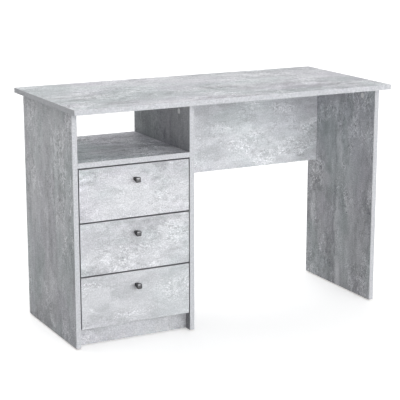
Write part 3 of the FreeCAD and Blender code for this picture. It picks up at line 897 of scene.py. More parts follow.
@dataclass(frozen=True)
class Hardboard:
    """Pressed wood fibre, with loose fibres on it and the marks of the press's wire screen.

    Attributes:
        light: The tone of its paler patches.
        dark: The tone of its darker patches.
        chip: The tone of the bark chips.
        fibre: The tone of the loose fibres.
        pitch: The distance between two wires of the screen.
        relief: How deep the marks are.
    """

    light: Colour = tone(170, 146, 116)
    dark: Colour = tone(144, 119, 91)
    chip: Colour = tone(104, 82, 60)
    fibre: Colour = tone(196, 176, 146)
    pitch: float = 1.8 * MILLIMETRE
    relief: float = 0.12 * MILLIMETRE

    def material(self, effects: Effects) -> bpy.types.Material:
        """Makes the material, or gives the one already made.

        Args:
            effects: The shared effects.

        Returns:
            The material.
        """
        made = bpy.data.materials.get("hardboard")
        if made:
            return made
        coat = Coat("hardboard", roughness=0.75)
        w = coat.wiring
        patches = w.cloud(coat.place, 9.0, detail=5.0, roughness=0.65)
        pulp = w.cloud(coat.place, 320.0, detail=5.0, roughness=0.75)
        fibres = effects.scratches.place(w, {"Place": coat.place, "Scale": 38.0, "Share": 0.7})["Mask"]
        chips = w.specks(w.stretch(coat.place, (1.0, 0.8, 0.6)), 240.0, radius=0.45, share=0.12)
        colour = w.blend(w.rise(patches, 0.36, 0.64), self.dark, self.light)
        pulp_tone = w.blend(w.rise(pulp, 0.3, 0.7), tone(118, 118, 118), tone(212, 210, 206))
        colour = w.blend(0.5, colour, pulp_tone, "OVERLAY")
        colour = w.blend(w.product(chips, 0.5), colour, self.chip)
        coat.colour(w.blend(w.product(fibres, 0.6), colour, self.fibre))
        x, y, z = w.split(coat.place)
        turn = 2 * math.pi / self.pitch
        wires = [w.maths("SINE", w.product(distance, turn)) for distance in (x, w.total(y, z))]
        screen = w.between(w.product(*wires), 0.35, 0.65)
        coat.roughness(w.between(pulp, 0.66, 0.86))
        marks = w.total(pulp, w.product(fibres, 0.5))
        coat.relief(w.total(screen, marks), self.relief)
        return coat.material

    def dress(self, node: str, effects: Effects) -> None:
        """Gives a CAD node this finish."""
        put_on(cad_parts[node], self.material(effects))


HARDBOARD = Hardboard()
GREY_LAMINATE = PlainCoat(
    "grey_laminate", colour=tone(186, 188, 191), worn=tone(206, 207, 209),
    roughness=0.5, grain=500.0, shading=0.08,
)
WHITE_EPOXY = PlainCoat(
    "white_epoxy_steel", colour=tone(226, 226, 222), worn=tone(186, 187, 190),
    roughness=0.38, grain=1100.0, shading=0.05,
)
NYLON = PlainCoat(
    "roller_nylon", colour=tone(232, 231, 225), worn=tone(205, 204, 198),
    roughness=0.42, shading=0.05,
)
KNOB_BLACK = PlainCoat(
    "knob_black", colour=tone(28, 28, 30), worn=tone(66, 66, 68),
    roughness=0.55, scratch=0.2,
)
KNOB_PLATE = PlainCoat(
    "knob_plate", colour=tone(122, 122, 124), worn=tone(170, 170, 172),
    roughness=0.3, metallic=1.0, scratch=0.2,
)
CAP_PLASTIC = PlainCoat(
    "cap_plastic", colour=tone(222, 223, 226), worn=tone(205, 207, 210),
    roughness=0.45, shading=0.05,
)
GLIDE_PLASTIC = PlainCoat(
    "glide_plastic", colour=tone(38, 38, 40), worn=tone(84, 84, 86),
    roughness=0.5,
)
BEECH = PlainCoat(
    "beech", colour=tone(206, 172, 128), worn=tone(186, 150, 106),
    roughness=0.6,
)
ZINC = PlainCoat(
    "zinc_casting", colour=tone(168, 170, 172), worn=tone(206, 207, 208),
    roughness=0.42, metallic=1.0,
)
PLATED = PlainCoat(
    "plated_steel", colour=tone(186, 187, 186), worn=tone(226, 226, 224),
    roughness=0.3, metallic=1.0,
)


# Modelling


class Element(Enum):
    """What a selection in edit mode is made of."""

    EDGE = "EDGE"
    FACE = "FACE"


class Blank:
    """A new mesh that the modelling operators shape, with +Z out of the surface that it sits on."""

    MERGE = 0.001 * MILLIMETRE
    SMOOTH_UP_TO = math.radians(38)
    SHARP_FROM = math.radians(30)

    def __init__(self, name: str, primitive: Callable[..., set[str]], **place: Any) -> None:
        """Adds a primitive with nothing else selected, and opens it in edit mode.

        Args:
            name: The piece's name.
            primitive: The operator that adds the primitive.
            **place: The operator's settings.
        """
        bpy.ops.object.select_all(action="DESELECT")
        primitive(**place)
        self.object = bpy.context.object
        self.object.name = name
        bpy.ops.object.transform_apply(location=True, rotation=True, scale=True)
        bpy.ops.object.mode_set(mode="EDIT")
        bpy.ops.mesh.select_mode(type="VERT")
        bpy.ops.mesh.select_all(action="SELECT")

    def pick(self, element: Element, test: Callable[[Vector, Vector], bool]) -> None:
        """Selects the edges or the faces that pass a test.

        Args:
            element: Edges or faces.
            test: Takes a middle, and an edge's direction or a face's normal.
        """
        bpy.ops.mesh.select_mode(type=element.value)
        bpy.ops.mesh.select_all(action="DESELECT")
        mesh = bmesh.from_edit_mesh(self.object.data)
        if element is Element.FACE:
            for face in mesh.faces:
                face.select_set(test(face.calc_center_median(), face.normal))
        else:
            for edge in mesh.edges:
                start, end = (corner.co for corner in edge.verts)
                edge.select_set(test((start + end) / 2, (end - start).normalized()))
        bmesh.update_edit_mesh(self.object.data)

    def extrude(self, rise: float, scale: float = 1.0) -> None:
        """Extrudes what is selected along Z.

        Args:
            rise: How far it moves, minus for downwards.
            scale: How much it then grows about the Z axis.
        """
        bpy.ops.mesh.extrude_region_move(TRANSFORM_OT_translate={"value": (0.0, 0.0, rise)})
        bpy.ops.transform.resize(value=(scale, scale, 1.0), center_override=(0.0, 0.0, 0.0))

    def modify(self, kind: str, **settings: Any) -> None:
        """Adds a modifier and applies it.

        Args:
            kind: The modifier's type.
            **settings: The modifier's properties.
        """
        bpy.ops.object.mode_set(mode="OBJECT")
        bpy.ops.object.select_all(action="DESELECT")
        self.object.select_set(True)
        bpy.context.view_layer.objects.active = self.object
        bpy.ops.object.modifier_add(type=kind)
        modifier = self.object.modifiers[-1]
        for name, value in settings.items():
            setattr(modifier, name, value)
        bpy.ops.object.modifier_apply(modifier=modifier.name)
        bpy.ops.object.mode_set(mode="EDIT")

    def soften(self, width: float, segments: int = 2) -> None:
        """Rounds every sharp edge.

        Args:
            width: How far the rounding reaches from the edge.
            segments: How many faces it has across.
        """
        self.modify(
            "BEVEL",
            width=width,
            segments=segments,
            limit_method="ANGLE",
            angle_limit=self.SHARP_FROM,
            use_clamp_overlap=True,
        )

    def cut_cross(self, length: float, width: float, depth: float) -> None:
        """Cuts a cross-shaped recess for a screwdriver into the top, at height 0.

        Args:
            length: How long each pair of arms is.
            width: How wide an arm is.
            depth: How deep the recess is.
        """
        for size in ((length, width, 2 * depth), (width, length, 2 * depth)):
            bpy.ops.object.mode_set(mode="OBJECT")
            bpy.ops.object.select_all(action="DESELECT")
            bpy.ops.mesh.primitive_cube_add(size=1.0, scale=size)
            cutter = bpy.context.object
            self.modify("BOOLEAN", object=cutter, operation="DIFFERENCE", solver="EXACT")
            bpy.data.objects.remove(cutter)

    def finished(self) -> bpy.types.Object:
        """Merges doubled points, turns all faces outwards and shades the mesh.

        Returns:
            The piece, at the origin.
        """
        bpy.ops.object.mode_set(mode="EDIT")
        bpy.ops.mesh.select_all(action="SELECT")
        bpy.ops.mesh.remove_doubles(threshold=self.MERGE)
        bpy.ops.mesh.normals_make_consistent(inside=False)
        bpy.ops.object.mode_set(mode="OBJECT")
        bpy.ops.object.shade_smooth_by_angle(angle=self.SMOOTH_UP_TO)
        return self.object


def turned(name: str, outline: Outline, bored: bool = False, sides: int = 32) -> Blank:
    """Shapes a round piece ring by ring, as on a lathe.

    Args:
        name: The piece's name.
        outline: The radius and height of each ring, from one end to the other.
        bored: Whether the outline closes on itself round a bore, or ends in flat faces.
        sides: How many sides a ring has.

    Returns:
        The piece, still in edit mode.
    """
    (radius, height), *rest = outline
    blank = Blank(
        name,
        bpy.ops.mesh.primitive_circle_add,
        vertices=sides,
        radius=radius,
        location=(0.0, 0.0, height),
        fill_type="NOTHING" if bored else "NGON",
    )
    for next_radius, next_height in rest + (outline[:1] if bored else []):
        blank.extrude(next_height - height, next_radius / radius)
        radius, height = next_radius, next_height
    return blank


@dataclass(frozen=True)
class Solids:
    """The separate solids of a CAD node, which are all alike.

    Attributes:
        radius: Half the width of a solid.
        length: How long a solid is.
        places: Each solid's placement: the middle of its outer end, with +Z out.
    """

    radius: float
    length: float
    places: tuple[Matrix, ...]

    TOUCHING = 0.01 * MILLIMETRE

    @staticmethod
    def points(node: str) -> list[list[Vector]]:
        """Gives the points of each separate solid of a node.

        Args:
            node: The node's name.

        Returns:
            A list of points for each solid.
        """
        mesh = bmesh.new()
        mesh.from_mesh(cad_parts[node].data)
        bmesh.ops.remove_doubles(mesh, verts=mesh.verts, dist=Blank.MERGE)
        left = set(mesh.verts)
        found = []
        while left:
            waiting = [left.pop()]
            points = []
            while waiting:
                vertex = waiting.pop()
                points.append(vertex.co.copy())
                joined = {edge.other_vert(vertex) for edge in vertex.link_edges} & left
                left -= joined
                waiting.extend(joined)
            found.append(points)
        mesh.free()
        return found

    @classmethod
    def of(cls, node: str) -> "Solids":
        """Measures a node's round solids, whatever way each one lies. The outer end is the wider end.

        Args:
            node: The node's name.

        Returns:
            The solids, in the order of their places.
        """
        found = [cls._placed(points) for points in cls.points(node)]
        radius, length, _ = found[0]
        places = sorted((place for _, _, place in found), key=lambda place: tuple(place.translation))
        return cls(radius, length, tuple(places))

    @classmethod
    def _placed(cls, points: list[Vector]) -> tuple[float, float, Matrix]:
        """Measures one solid. Its axis is the side of its box that is unlike the other two.

        Args:
            points: The solid's points.

        Returns:
            Its radius, its length and the placement of its outer end.
        """
        low = Vector(min(point[i] for point in points) for i in range(3))
        high = Vector(max(point[i] for point in points) for i in range(3))
        size = high - low
        along = max(range(3), key=lambda i: min(abs(size[i] - size[i - 1]), abs(size[i] - size[i - 2])))
        ends, widths = {}, {}
        for sign, corner in ((1, high), (-1, low)):
            end = (low + high) / 2
            end[along] = corner[along]
            level = [point for point in points if abs(point[along] - end[along]) < cls.TOUCHING]
            ends[sign] = end
            widths[sign] = max((point - end).length for point in level)
        sign = 1 if widths[1] >= widths[-1] - cls.TOUCHING else -1
        out = Vector((0.0, 0.0, 0.0))
        out[along] = sign
        turn = Vector((0.0, 0.0, 1.0)).rotation_difference(out).to_matrix().to_4x4()
        return size[along - 1] / 2, size[along], Matrix.Translation(ends[sign]) @ turn


def set_out(pattern: bpy.types.Object, places: Iterable[Matrix], name: str) -> bpy.types.Object:
    """Copies a finished piece to each place and joins the copies.

    Args:
        pattern: The piece, which is removed afterwards.
        places: The placements.
        name: The joined object's name.

    Returns:
        One object that holds every copy.
    """
    bpy.ops.object.select_all(action="DESELECT")
    for place in places:
        mesh = pattern.data.copy()
        mesh.transform(place)
        copy = bpy.data.objects.new(name, mesh)
        bpy.context.scene.collection.objects.link(copy)
        copy.select_set(True)
        bpy.context.view_layer.objects.active = copy
    bpy.data.objects.remove(pattern)
    bpy.ops.object.join()
    joined = bpy.context.object
    joined.name = name
    return joined


def install(
    piece: bpy.types.Object, body: str, slot: str, coat: PlainCoat, effects: Effects, *nodes: str
) -> None:
    """Dresses a new piece and gives it its place in the frame.

    Args:
        piece: The piece.
        body: The CAD body that it rides on.
        slot: The record's material slot; not used.
        coat: Its finish.
        effects: The shared effects.
        *nodes: The CAD nodes that it stands for.
    """
    put_on(piece, coat.material(effects))
    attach(piece, body)
    if nodes:
        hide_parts(*nodes)
    log.info("%s: %d faces, rides on %s", piece.name, len(piece.data.polygons), body)


# Round hardware


def profile(radius: float, height: float, *shares: tuple[float, float]) -> Outline:
    """Works out rings from shares of a radius and of a height.

    Args:
        radius: The whole radius.
        height: The whole height.
        *shares: The share of the radius and of the height of each ring.

    Returns:
        The rings.
    """
    return [(radius * across, height * up) for across, up in shares]


@dataclass(frozen=True)
class Turning:
    """A round piece that is turned to the size of a CAD node's solids and set out on them.

    Attributes:
        softness: How far its sharp edges are rounded.
        bored: Whether it has a bore.
    """

    softness: float = 0.12 * MILLIMETRE
    bored: bool = False

    def outline(self, radius: float, length: float) -> Outline:
        """Gives the rings from the inner end up to the outer end, which is at height 0.

        Args:
            radius: The solid's radius.
            length: The solid's length.

        Returns:
            The rings.
        """
        raise NotImplementedError

    def detail(self, blank: Blank) -> None:
        """Adds what isn't round."""

    def replace(self, node: str, name: str) -> bpy.types.Object:
        """Makes the pieces that stand for a node's solids.

        Args:
            node: The CAD node.
            name: The new object's name.

        Returns:
            One object with a piece at each solid.
        """
        solids = Solids.of(node)
        blank = turned(name, self.outline(solids.radius, solids.length), self.bored)
        blank.soften(self.softness)
        self.detail(blank)
        return set_out(blank.finished(), solids.places, name)


@dataclass(frozen=True)
class Screw(Turning):
    """A screw with a domed head, a cross recess and a threaded shank.

    Attributes:
        head: The height of its head.
        shank: The radius of its thread's crests.
        pitch: The distance between two crests.
        thread: How deep the thread is.
        tip: The length of its point, in shank radii.
        recess: How deep the recess is.
        arm_length: The length of a pair of the recess's arms, in shank radii.
        arm_width: Their width, in shank radii.
    """

    head: float = 1.5 * MILLIMETRE
    shank: float = 1.7 * MILLIMETRE
    pitch: float = 1.3 * MILLIMETRE
    thread: float = 0.4 * MILLIMETRE
    tip: float = 2.0
    recess: float = 0.9 * MILLIMETRE
    arm_length: float = 1.89
    arm_width: float = 0.42

    def outline(self, radius: float, length: float) -> Outline:
        """Gives the point, the thread's ridges and the dome.

        Args:
            radius: The solid's radius.
            length: The solid's length.

        Returns:
            The rings.
        """
        start = -length + self.tip * self.shank
        rings = [(0.2 * self.shank, -length)]
        for turn in range(int((-self.head - start) / self.pitch)):
            height = start + turn * self.pitch
            rings.append((self.shank - self.thread, height))
            rings.append((self.shank, height + self.pitch / 2))
        rings.append((self.shank, -self.head))
        return rings + profile(
            radius, self.head, (1.0, -1.0), (1.0, -0.6), (0.93, -0.32), (0.78, -0.1), (0.6, 0.0)
        )

    def detail(self, blank: Blank) -> None:
        """Cuts the recess."""
        blank.cut_cross(self.arm_length * self.shank, self.arm_width * self.shank, self.recess)


@dataclass(frozen=True)
class Nail(Turning):
    """A wire nail with a low domed head.

    Attributes:
        softness: How far its sharp edges are rounded.
        head: The height of its head.
        shank: The radius of its wire.
        point: The length of its point.
    """

    softness: float = 0.05 * MILLIMETRE
    head: float = 0.6 * MILLIMETRE
    shank: float = 0.7 * MILLIMETRE
    point: float = 2.0 * MILLIMETRE

    def outline(self, radius: float, length: float) -> Outline:
        """Gives the point, the shank and the head.

        Args:
            radius: The solid's radius.
            length: The solid's length.

        Returns:
            The rings.
        """
        rings = [
            (0.1 * self.shank, -length),
            (self.shank, -length + self.point),
            (self.shank, -self.head),
        ]
        return rings + profile(radius, self.head, (1.0, -1.0), (1.0, -0.5), (0.75, -0.1), (0.4, 0.0))


@dataclass(frozen=True)
class Roller(Turning):
    """A plastic roller with a raised hub, a sunk web and a groove round its tread.

    Attributes:
        bored: Whether it has a bore.
        bore: The radius of its bore.
        hub: The radius of its hub.
        rim: How thick its tread is.
        dish: How deep the web is sunk.
        groove: How deep the groove is.
    """

    bored: bool = True
    bore: float = 2.08 * MILLIMETRE
    hub: float = 3.7 * MILLIMETRE
    rim: float = 1.9 * MILLIMETRE
    dish: float = 1.1 * MILLIMETRE
    groove: float = 0.45 * MILLIMETRE

    def outline(self, radius: float, length: float) -> Outline:
        """Gives the lower side, the tread and the upper side.

        Args:
            radius: The solid's radius.
            length: The solid's length.

        Returns:
            The rings.
        """
        inner = radius - self.rim
        half = [
            (radius - self.groove, -0.4 * length),
            (radius, -0.34 * length),
            (radius, 0.0),
            (inner, 0.0),
            (inner, -self.dish),
            (self.hub, -self.dish),
            (self.hub, 0.0),
            (self.bore, 0.0),
        ]
        return [(ring, -length - height) for ring, height in reversed(half)] + half


@dataclass(frozen=True)
class CamCap(Turning):
    """A press-in cap with a rounded rim, a dished middle and a spigot.

    Attributes:
        disc: The thickness of its disc.
        spigot: The radius of its spigot.
    """

    disc: float = 1.0 * MILLIMETRE
    spigot: float = 2.0 * MILLIMETRE

    def outline(self, radius: float, length: float) -> Outline:
        """Gives the spigot, the rim and the dish.

        Args:
            radius: The solid's radius.
            length: The solid's length.

        Returns:
            The rings.
        """
        rings = [
            (0.8 * self.spigot, -length),
            (self.spigot, -length + 0.3 * self.disc),
            (self.spigot, -self.disc),
        ]
        rim = profile(radius, self.disc, (1.0, -1.0), (1.0, -0.55), (0.95, -0.15), (0.88, 0.0))
        dish = profile(radius, self.disc, (0.78, -0.02), (0.72, -0.3), (0.3, -0.45), (0.12, -0.5))
        return rings + rim + dish


@dataclass(frozen=True)
class Glide(Turning):
    """A moulded glide with a ribbed pin, a rounded foot and a hollow under it.

    Attributes:
        foot: The height of its foot.
        pin: The radius of its pin.
        ribs: How many ribs the pin has.
    """

    foot: float = 4.0 * MILLIMETRE
    pin: float = 2.5 * MILLIMETRE
    ribs: int = 4

    def outline(self, radius: float, length: float) -> Outline:
        """Gives the ribbed pin and the foot.

        Args:
            radius: The solid's radius.
            length: The solid's length.

        Returns:
            The rings.
        """
        rings = [(0.5 * self.pin, -length)]
        step = (length - self.foot) / self.ribs
        for rib in range(self.ribs):
            height = -length + rib * step
            rings.append((0.8 * self.pin, height + 0.3 * step))
            rings.append((self.pin, height + 0.85 * step))
        rings.append((self.pin, -self.foot))
        side = profile(radius, self.foot, (1.0, -1.0), (1.0, -0.35), (0.96, -0.16), (0.87, -0.03))
        hollow = profile(radius, self.foot, (0.78, 0.0), (0.5, 0.0), (0.42, -0.2), (0.1, -0.2))
        return rings + side + hollow


# The knob


@dataclass
class Knob:
    """A square knob: a dark body that flares from its foot, and a paler plate let into its face.

    Attributes:
        drawer: The drawer's name.
        corner: The radius of the head's corners.
        head: How thick the head is.
        rim: How wide the body's rim round the plate is.
        foot_share: The width of the neck at its foot, as a share of the head's.
        flare: The power by which the neck widens, 1 for straight sides.
        steps: How many rings the neck has.
        plate: How thick the plate is.
        crown: How far the plate's middle stands above its edge.
        crown_rings: How many rings the crown has.
        clearance: The gap between the plate and the rim.
        softness: How far the body's edges are rounded.
        plate_softness: How far the plate's edges are rounded.
    """

    CORNER_SEGMENTS = 7

    drawer: str
    corner: float = 3.4 * MILLIMETRE
    head: float = 4.2 * MILLIMETRE
    rim: float = 1.1 * MILLIMETRE
    foot_share: float = 0.6
    flare: float = 1.1
    steps: int = 8
    plate: float = 1.3 * MILLIMETRE
    crown: float = 0.8 * MILLIMETRE
    crown_rings: int = 5
    clearance: float = 0.2 * MILLIMETRE
    softness: float = 0.35 * MILLIMETRE
    plate_softness: float = 0.15 * MILLIMETRE

    @property
    def node(self) -> str:
        """The CAD node that the knob replaces."""
        return f"{self.drawer}_drawer_knob"

    def square(self, name: str, width: float, corner: float, low: float, high: float) -> Blank:
        """Starts a square bar with rounded corners.

        Args:
            name: The piece's name.
            width: Its width.
            corner: The radius of its corners.
            low: The height of its lower end.
            high: The height of its upper end.

        Returns:
            The bar, in edit mode.
        """
        blank = Blank(
            name,
            bpy.ops.mesh.primitive_cube_add,
            size=1.0,
            location=(0.0, 0.0, (low + high) / 2),
            scale=(width, width, high - low),
        )
        blank.pick(Element.EDGE, lambda middle, direction: abs(direction.z) > 0.9)
        bpy.ops.mesh.bevel(offset=corner, segments=self.CORNER_SEGMENTS, affect="EDGES")
        return blank

    def body(self, width: float, depth: float) -> bpy.types.Object:
        """Models the body with its neck, foot and recess.

        Args:
            width: The head's width.
            depth: How far the knob stands out.

        Returns:
            The body.
        """
        shoulder = depth - self.head
        blank = self.square(f"{self.drawer}_knob_body", width, self.corner, shoulder, depth - self.crown)
        blank.pick(Element.FACE, lambda middle, normal: normal.z < -0.9)
        share = 1.0
        for step in range(self.steps):
            level = 1 - (step + 1) / self.steps
            next_share = self.foot_share + (1 - self.foot_share) * level ** self.flare
            blank.extrude(-shoulder / self.steps, next_share / share)
            share = next_share
        blank.pick(Element.FACE, lambda middle, normal: normal.z > 0.9)
        bpy.ops.mesh.inset(thickness=self.rim)
        blank.extrude(-self.plate)
        blank.soften(self.softness, segments=3)
        return blank.finished()

    def face_plate(self, width: float, depth: float) -> bpy.types.Object:
        """Models the crowned plate.

        Args:
            width: The head's width.
            depth: How far the knob stands out.

        Returns:
            The plate.
        """
        width -= 2 * (self.rim + self.clearance)
        seat = depth - self.crown - self.plate
        corner = self.corner - self.rim
        blank = self.square(f"{self.drawer}_knob_plate", width, corner, seat, depth - self.crown)
        blank.pick(Element.FACE, lambda middle, normal: normal.z > 0.9)
        for left in range(self.crown_rings, 0, -1):
            rise = (left ** 2 - (left - 1) ** 2) / self.crown_rings ** 2
            blank.extrude(self.crown * rise, (left - 0.5) / (left + 0.5))
        blank.soften(self.plate_softness)
        return blank.finished()

    def build(self, effects: Effects) -> None:
        """Makes the knob and puts it on its drawer.

        Args:
            effects: The shared effects.
        """
        low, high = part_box(self.node)
        width = high.z - low.z
        depth = high.y - low.y
        seat = Matrix.Translation(((low.x + high.x) / 2, high.y, (low.z + high.z) / 2))
        place = seat @ Matrix.Rotation(math.radians(90), 4, "X")
        body = self.body(width, depth)
        plate = self.face_plate(width, depth)
        for piece in (body, plate):
            piece.data.transform(place)
        install(body, f"{self.drawer}_drawer", "knob_metal", KNOB_BLACK, effects, self.node)
        install(plate, f"{self.drawer}_drawer", "knob_metal", KNOB_PLATE, effects)


# Sub-assemblies


@dataclass
class Carcass:
    """The fixed boards with their joining hardware and the cabinet's halves of the slides.

    Attributes:
        body: The CAD body that its pieces ride on.
    """

    body: str = "carcass"

    @staticmethod
    def boards() -> dict[str, ConcreteBoard]:
        """Says how each board was cut from the print.

        Returns:
            The finish of each board, by its node.
        """
        # Each board's shade is painted light and shade for how it is lit: the divider's face in the bay
        # is darkened most, the side panels, plinth, shelf and worktop less, and the modesty panel under
        # the worktop is lightened.
        return {
            "worktop": ConcreteBoard(
                thickness=Axis.Z, grain=Axis.X, cut_at=(3.1, 0.4, 0.0),
                flecks=0.7, strokes=0.3, contrast=1.6, shade=0.955,
            ),
            "left_side_panel": ConcreteBoard(
                thickness=Axis.X, grain=Axis.Z, cut_at=(0.6, 2.3, 0.5), raw=Axis.Z,
                flecks=0.9, strokes=0.5, contrast=1.5, shade=0.88,
            ),
            "divider_panel": ConcreteBoard(
                thickness=Axis.X, grain=Axis.Z, cut_at=(5.2, 1.1, 0.9), raw=Axis.Z,
                flecks=0.4, strokes=0.5, contrast=1.6, shade=0.64,
            ),
            "right_side_panel": ConcreteBoard(
                thickness=Axis.X, grain=Axis.Z, cut_at=(7.3, 4.0, 1.6), raw=Axis.Z,
                flecks=0.9, strokes=0.4, contrast=1.6, vein=0.7, vein_across=4.0, shade=0.87,
            ),
            "shelf": ConcreteBoard(
                thickness=Axis.Z, grain=Axis.X, cut_at=(1.7, 6.1, 2.2), raw=Axis.X,
                flecks=0.9, strokes=0.5, contrast=2.3, shade=0.95,
            ),
            "plinth": ConcreteBoard(
                thickness=Axis.Y, grain=Axis.X, cut_at=(2.6, 3.3, 3.0), raw=Axis.X,
                flecks=0.6, shade=0.9,
            ),
            "modesty_panel": ConcreteBoard(
                thickness=Axis.Y, grain=Axis.X, cut_at=(6.4, 2.7, 3.8), raw=Axis.X,
                flecks=1.0, strokes=0.4, shade=1.07,
            ),
        }

    def build(self, effects: Effects) -> None:
        """Dresses the carcass.

        Args:
            effects: The shared effects.
        """
        for node, board in self.boards().items():
            board.dress(node, effects)
        HARDBOARD.dress("bay_back_panel", effects)
        ZINC.dress("cam_locks", effects)
        PLATED.dress("cam_bolts", effects)
        BEECH.dress("wood_dowels", effects)
        for drawer in DRAWERS:
            for side in ("left", "right"):
                WHITE_EPOXY.dress(f"{drawer}_{side}_cabinet_rail", effects)
        self.add_hardware(effects)

    def add_hardware(self, effects: Effects) -> None:
        """Replaces the round hardware with detailed pieces.

        Args:
            effects: The shared effects.
        """
        for node, hardware, name, slot, coat in (
            ("cabinet_rail_screws", Screw(), "cabinet_rail_cross_screws", "plated_steel", PLATED),
            ("back_panel_nails", Nail(), "back_panel_wire_nails", "plated_steel", PLATED),
            ("floor_glides", Glide(), "ribbed_floor_glides", "glide_plastic", GLIDE_PLASTIC),
            ("cam_caps", CamCap(), "dished_cam_caps", "cap_plastic", CAP_PLASTIC),
        ):
            install(hardware.replace(node, name), self.body, slot, coat, effects, node)
        for drawer in DRAWERS:
            node = f"{drawer}_cabinet_rollers"
            rollers = Roller().replace(node, f"{drawer}_cabinet_grooved_rollers")
            install(rollers, f"{drawer}_cabinet_front_rollers", "roller_plastic", NYLON, effects, node)


@dataclass
class Drawer:
    """One drawer with its front, box, slides and knob.

    Attributes:
        name: The drawer's name.
        front: The finish of its front.
        machine_screw: The screw that holds its knob.
    """

    name: str
    front: ConcreteBoard
    machine_screw: Screw = Screw(head=2.2 * MILLIMETRE, shank=1.95 * MILLIMETRE, pitch=0.9 * MILLIMETRE)

    @property
    def body(self) -> str:
        """The CAD body that the drawer's pieces ride on."""
        return f"{self.name}_drawer"

    def build(self, effects: Effects) -> None:
        """Dresses the drawer.

        Args:
            effects: The shared effects.
        """
        self.front.dress(f"{self.body}_front", effects)
        for part in ("left_side", "right_side", "back"):
            GREY_LAMINATE.dress(f"{self.body}_{part}", effects)
        HARDBOARD.dress(f"{self.body}_bottom", effects)
        for part in ("left_rail", "right_rail"):
            WHITE_EPOXY.dress(f"{self.body}_{part}", effects)
        ZINC.dress(f"{self.body}_cam_locks", effects)
        self.add_hardware(effects)
        Knob(self.name).build(effects)

    def add_hardware(self, effects: Effects) -> None:
        """Replaces the drawer's round hardware with detailed pieces.

        Args:
            effects: The shared effects.
        """
        node = f"{self.body}_rollers"
        rollers = Roller().replace(node, f"{self.body}_grooved_rollers")
        install(rollers, f"{self.body}_rear_rollers", "roller_plastic", NYLON, effects, node)
        for node, screw, name in (
            (f"{self.body}_rail_screws", Screw(), f"{self.body}_rail_cross_screws"),
            (f"{self.body}_knob_screw", self.machine_screw, f"{self.body}_knob_machine_screw"),
        ):
            install(screw.replace(node, name), self.body, "plated_steel", PLATED, effects, node)


# The studio


@dataclass(frozen=True)
class SoftBox:
    """A large soft light far away, as a bright part of the sky.

    Attributes:
        azimuth: Where it stands in degrees, 0 in front of the desk and 90 at its right.
        elevation: Its height above the horizon in degrees.
        inner: The angle from its middle within which it is fully bright.
        outer: The angle at which it has faded out.
        strength: Its brightness.
    """

    azimuth: float
    elevation: float
    inner: float
    outer: float
    strength: float

    def direction(self) -> Vector:
        """Gives the direction towards the light's middle."""
        around, up = math.radians(self.azimuth), math.radians(self.elevation)
        return Vector((math.sin(around) * math.cos(up), -math.cos(around) * math.cos(up), math.sin(up)))


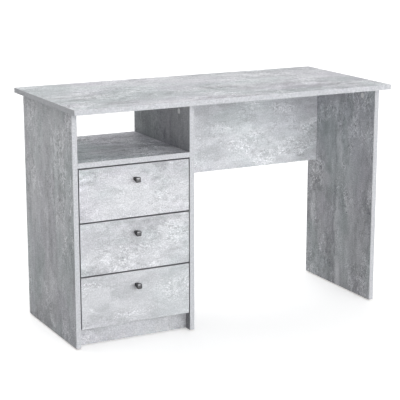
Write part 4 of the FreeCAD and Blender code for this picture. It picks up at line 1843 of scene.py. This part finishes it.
@dataclass
class Studio:
    """A white sweep, a sky of soft boxes and the camera.

    Attributes:
        azimuth: The camera's turn round the desk in degrees, 0 in front and minus to the left.
        elevation: Its height above the horizon in degrees.
        distance: Its distance from the point that it looks at.
        aim: That point, from the middle of the desk's box.
        lens: The focal length in millimetres on a 36 mm sensor.
        floor_size: The width of the sweep.
        floor_tone: The sweep's colour.
        floor_glow: How much brighter the camera sees the sweep than it is.
        fill: The sky's brightness outside the soft boxes.
        soft_boxes: The lights.
    """

    azimuth: float = -27.63
    elevation: float = 13.34
    distance: float = 4.325
    aim: Point = (-0.015, 0.0, -0.003)
    lens: float = 119.5
    floor_size: float = 120.0
    floor_tone: Colour = tone(225, 225, 225)
    floor_glow: float = 0.45
    fill: float = 0.02
    soft_boxes: tuple[SoftBox, ...] = (
        SoftBox(azimuth=0.0, elevation=5.0, inner=5.0, outer=35.0, strength=6.6),
        SoftBox(azimuth=40.0, elevation=5.0, inner=5.0, outer=35.0, strength=2.2),
        SoftBox(azimuth=0.0, elevation=90.0, inner=20.0, outer=60.0, strength=0.95),
        SoftBox(azimuth=180.0, elevation=45.0, inner=10.0, outer=50.0, strength=1.5),
    )

    def build(self) -> None:
        """Makes the floor, the light and the camera."""
        self.add_floor()
        self.add_light()
        self.add_camera()
        bpy.context.scene.view_settings.view_transform = "Standard"

    def add_floor(self) -> None:
        """Makes the plain pale floor."""
        bpy.ops.object.select_all(action="DESELECT")
        bpy.ops.mesh.primitive_plane_add(size=self.floor_size)
        floor = bpy.context.object
        floor.name = "studio_floor"
        coat = Coat(floor.name, roughness=0.9, Specular_IOR_Level=0.0)
        coat.colour(self.floor_tone)
        coat.shader.inputs["Emission Color"].default_value = WHITE
        seen = coat.wiring.add("LightPath").outputs["Is Camera Ray"]
        glow = coat.wiring.product(seen, self.floor_glow)
        coat.wiring.feed(coat.shader.inputs["Emission Strength"], glow)
        put_on(floor, coat.material)

    def add_light(self) -> None:
        """Makes the sky of soft boxes. The camera sees it plain white."""
        world = bpy.data.worlds.new("studio_sky")
        bpy.context.scene.world = world
        world.use_nodes = True
        w = Wiring(world.node_tree)
        direction = w.add("TexCoord").outputs["Generated"]
        strength = self.fill
        for box in self.soft_boxes:
            inputs = {0: direction, 1: box.direction()}
            facing = w.add("VectorMath", inputs, operation="DOT_PRODUCT").outputs["Value"]
            edge, middle = (math.cos(math.radians(angle)) for angle in (box.outer, box.inner))
            strength = w.total(strength, w.rise(facing, edge, middle, box.strength))
        seen = w.add("LightPath").outputs["Is Camera Ray"]
        shown = w.add("Mix", {0: seen, 2: strength, 3: 1.0}, data_type="FLOAT").outputs[0]
        sky = w.add("Background", {"Color": WHITE, "Strength": shown})
        w.add("OutputWorld", {"Surface": sky.outputs[0]})

    def add_camera(self) -> None:
        """Makes the camera and gives it to the scene."""
        target = (cad_low + cad_high) / 2 + Vector(self.aim)
        turn = Euler((math.radians(90 - self.elevation), 0.0, math.radians(self.azimuth)))
        back = turn.to_matrix() @ Vector((0.0, 0.0, self.distance))
        lens = bpy.data.cameras.new("studio_camera")
        lens.lens = self.lens
        camera = bpy.data.objects.new("studio_camera", lens)
        bpy.context.scene.collection.objects.link(camera)
        camera.location = target + back
        camera.rotation_euler = turn
        bpy.context.scene.camera = camera


def main() -> None:
    """Builds the desk's looks and the studio in order."""
    logging.basicConfig(level=logging.INFO, format="%(message)s")
    effects = Effects()
    Carcass().build(effects)
    # Painted shade: a grey tint for the drawer fronts' edge bands, darkening the gaps between the fronts
    # where shade falls.
    painted_gap_shade = tone(206, 206, 208)
    # Each front's shade slightly darkens its print for how it is lit, and its grey band tint darkens the
    # gaps between fronts: both are painted shade.
    fronts = {
        "top": ConcreteBoard(
            thickness=Axis.Y, grain=Axis.X, cut_at=(0.3, 5.2, 0.7),
            flecks=0.8, contrast=1.25, shade=0.94, band=painted_gap_shade,
        ),
        "middle": ConcreteBoard(
            thickness=Axis.Y, grain=Axis.X, cut_at=(4.4, 7.9, 1.9),
            flecks=0.6, contrast=1.05, shade=0.96, band=painted_gap_shade,
        ),
        "bottom": ConcreteBoard(
            thickness=Axis.Y, grain=Axis.X, cut_at=(9.1, 3.4, 3.1),
            flecks=0.9, contrast=0.75, shade=0.97, band=painted_gap_shade,
        ),
    }
    for name, front in fronts.items():
        Drawer(name, front).build(effects)
    Studio().build()


if __name__ == "__main__":
    main()
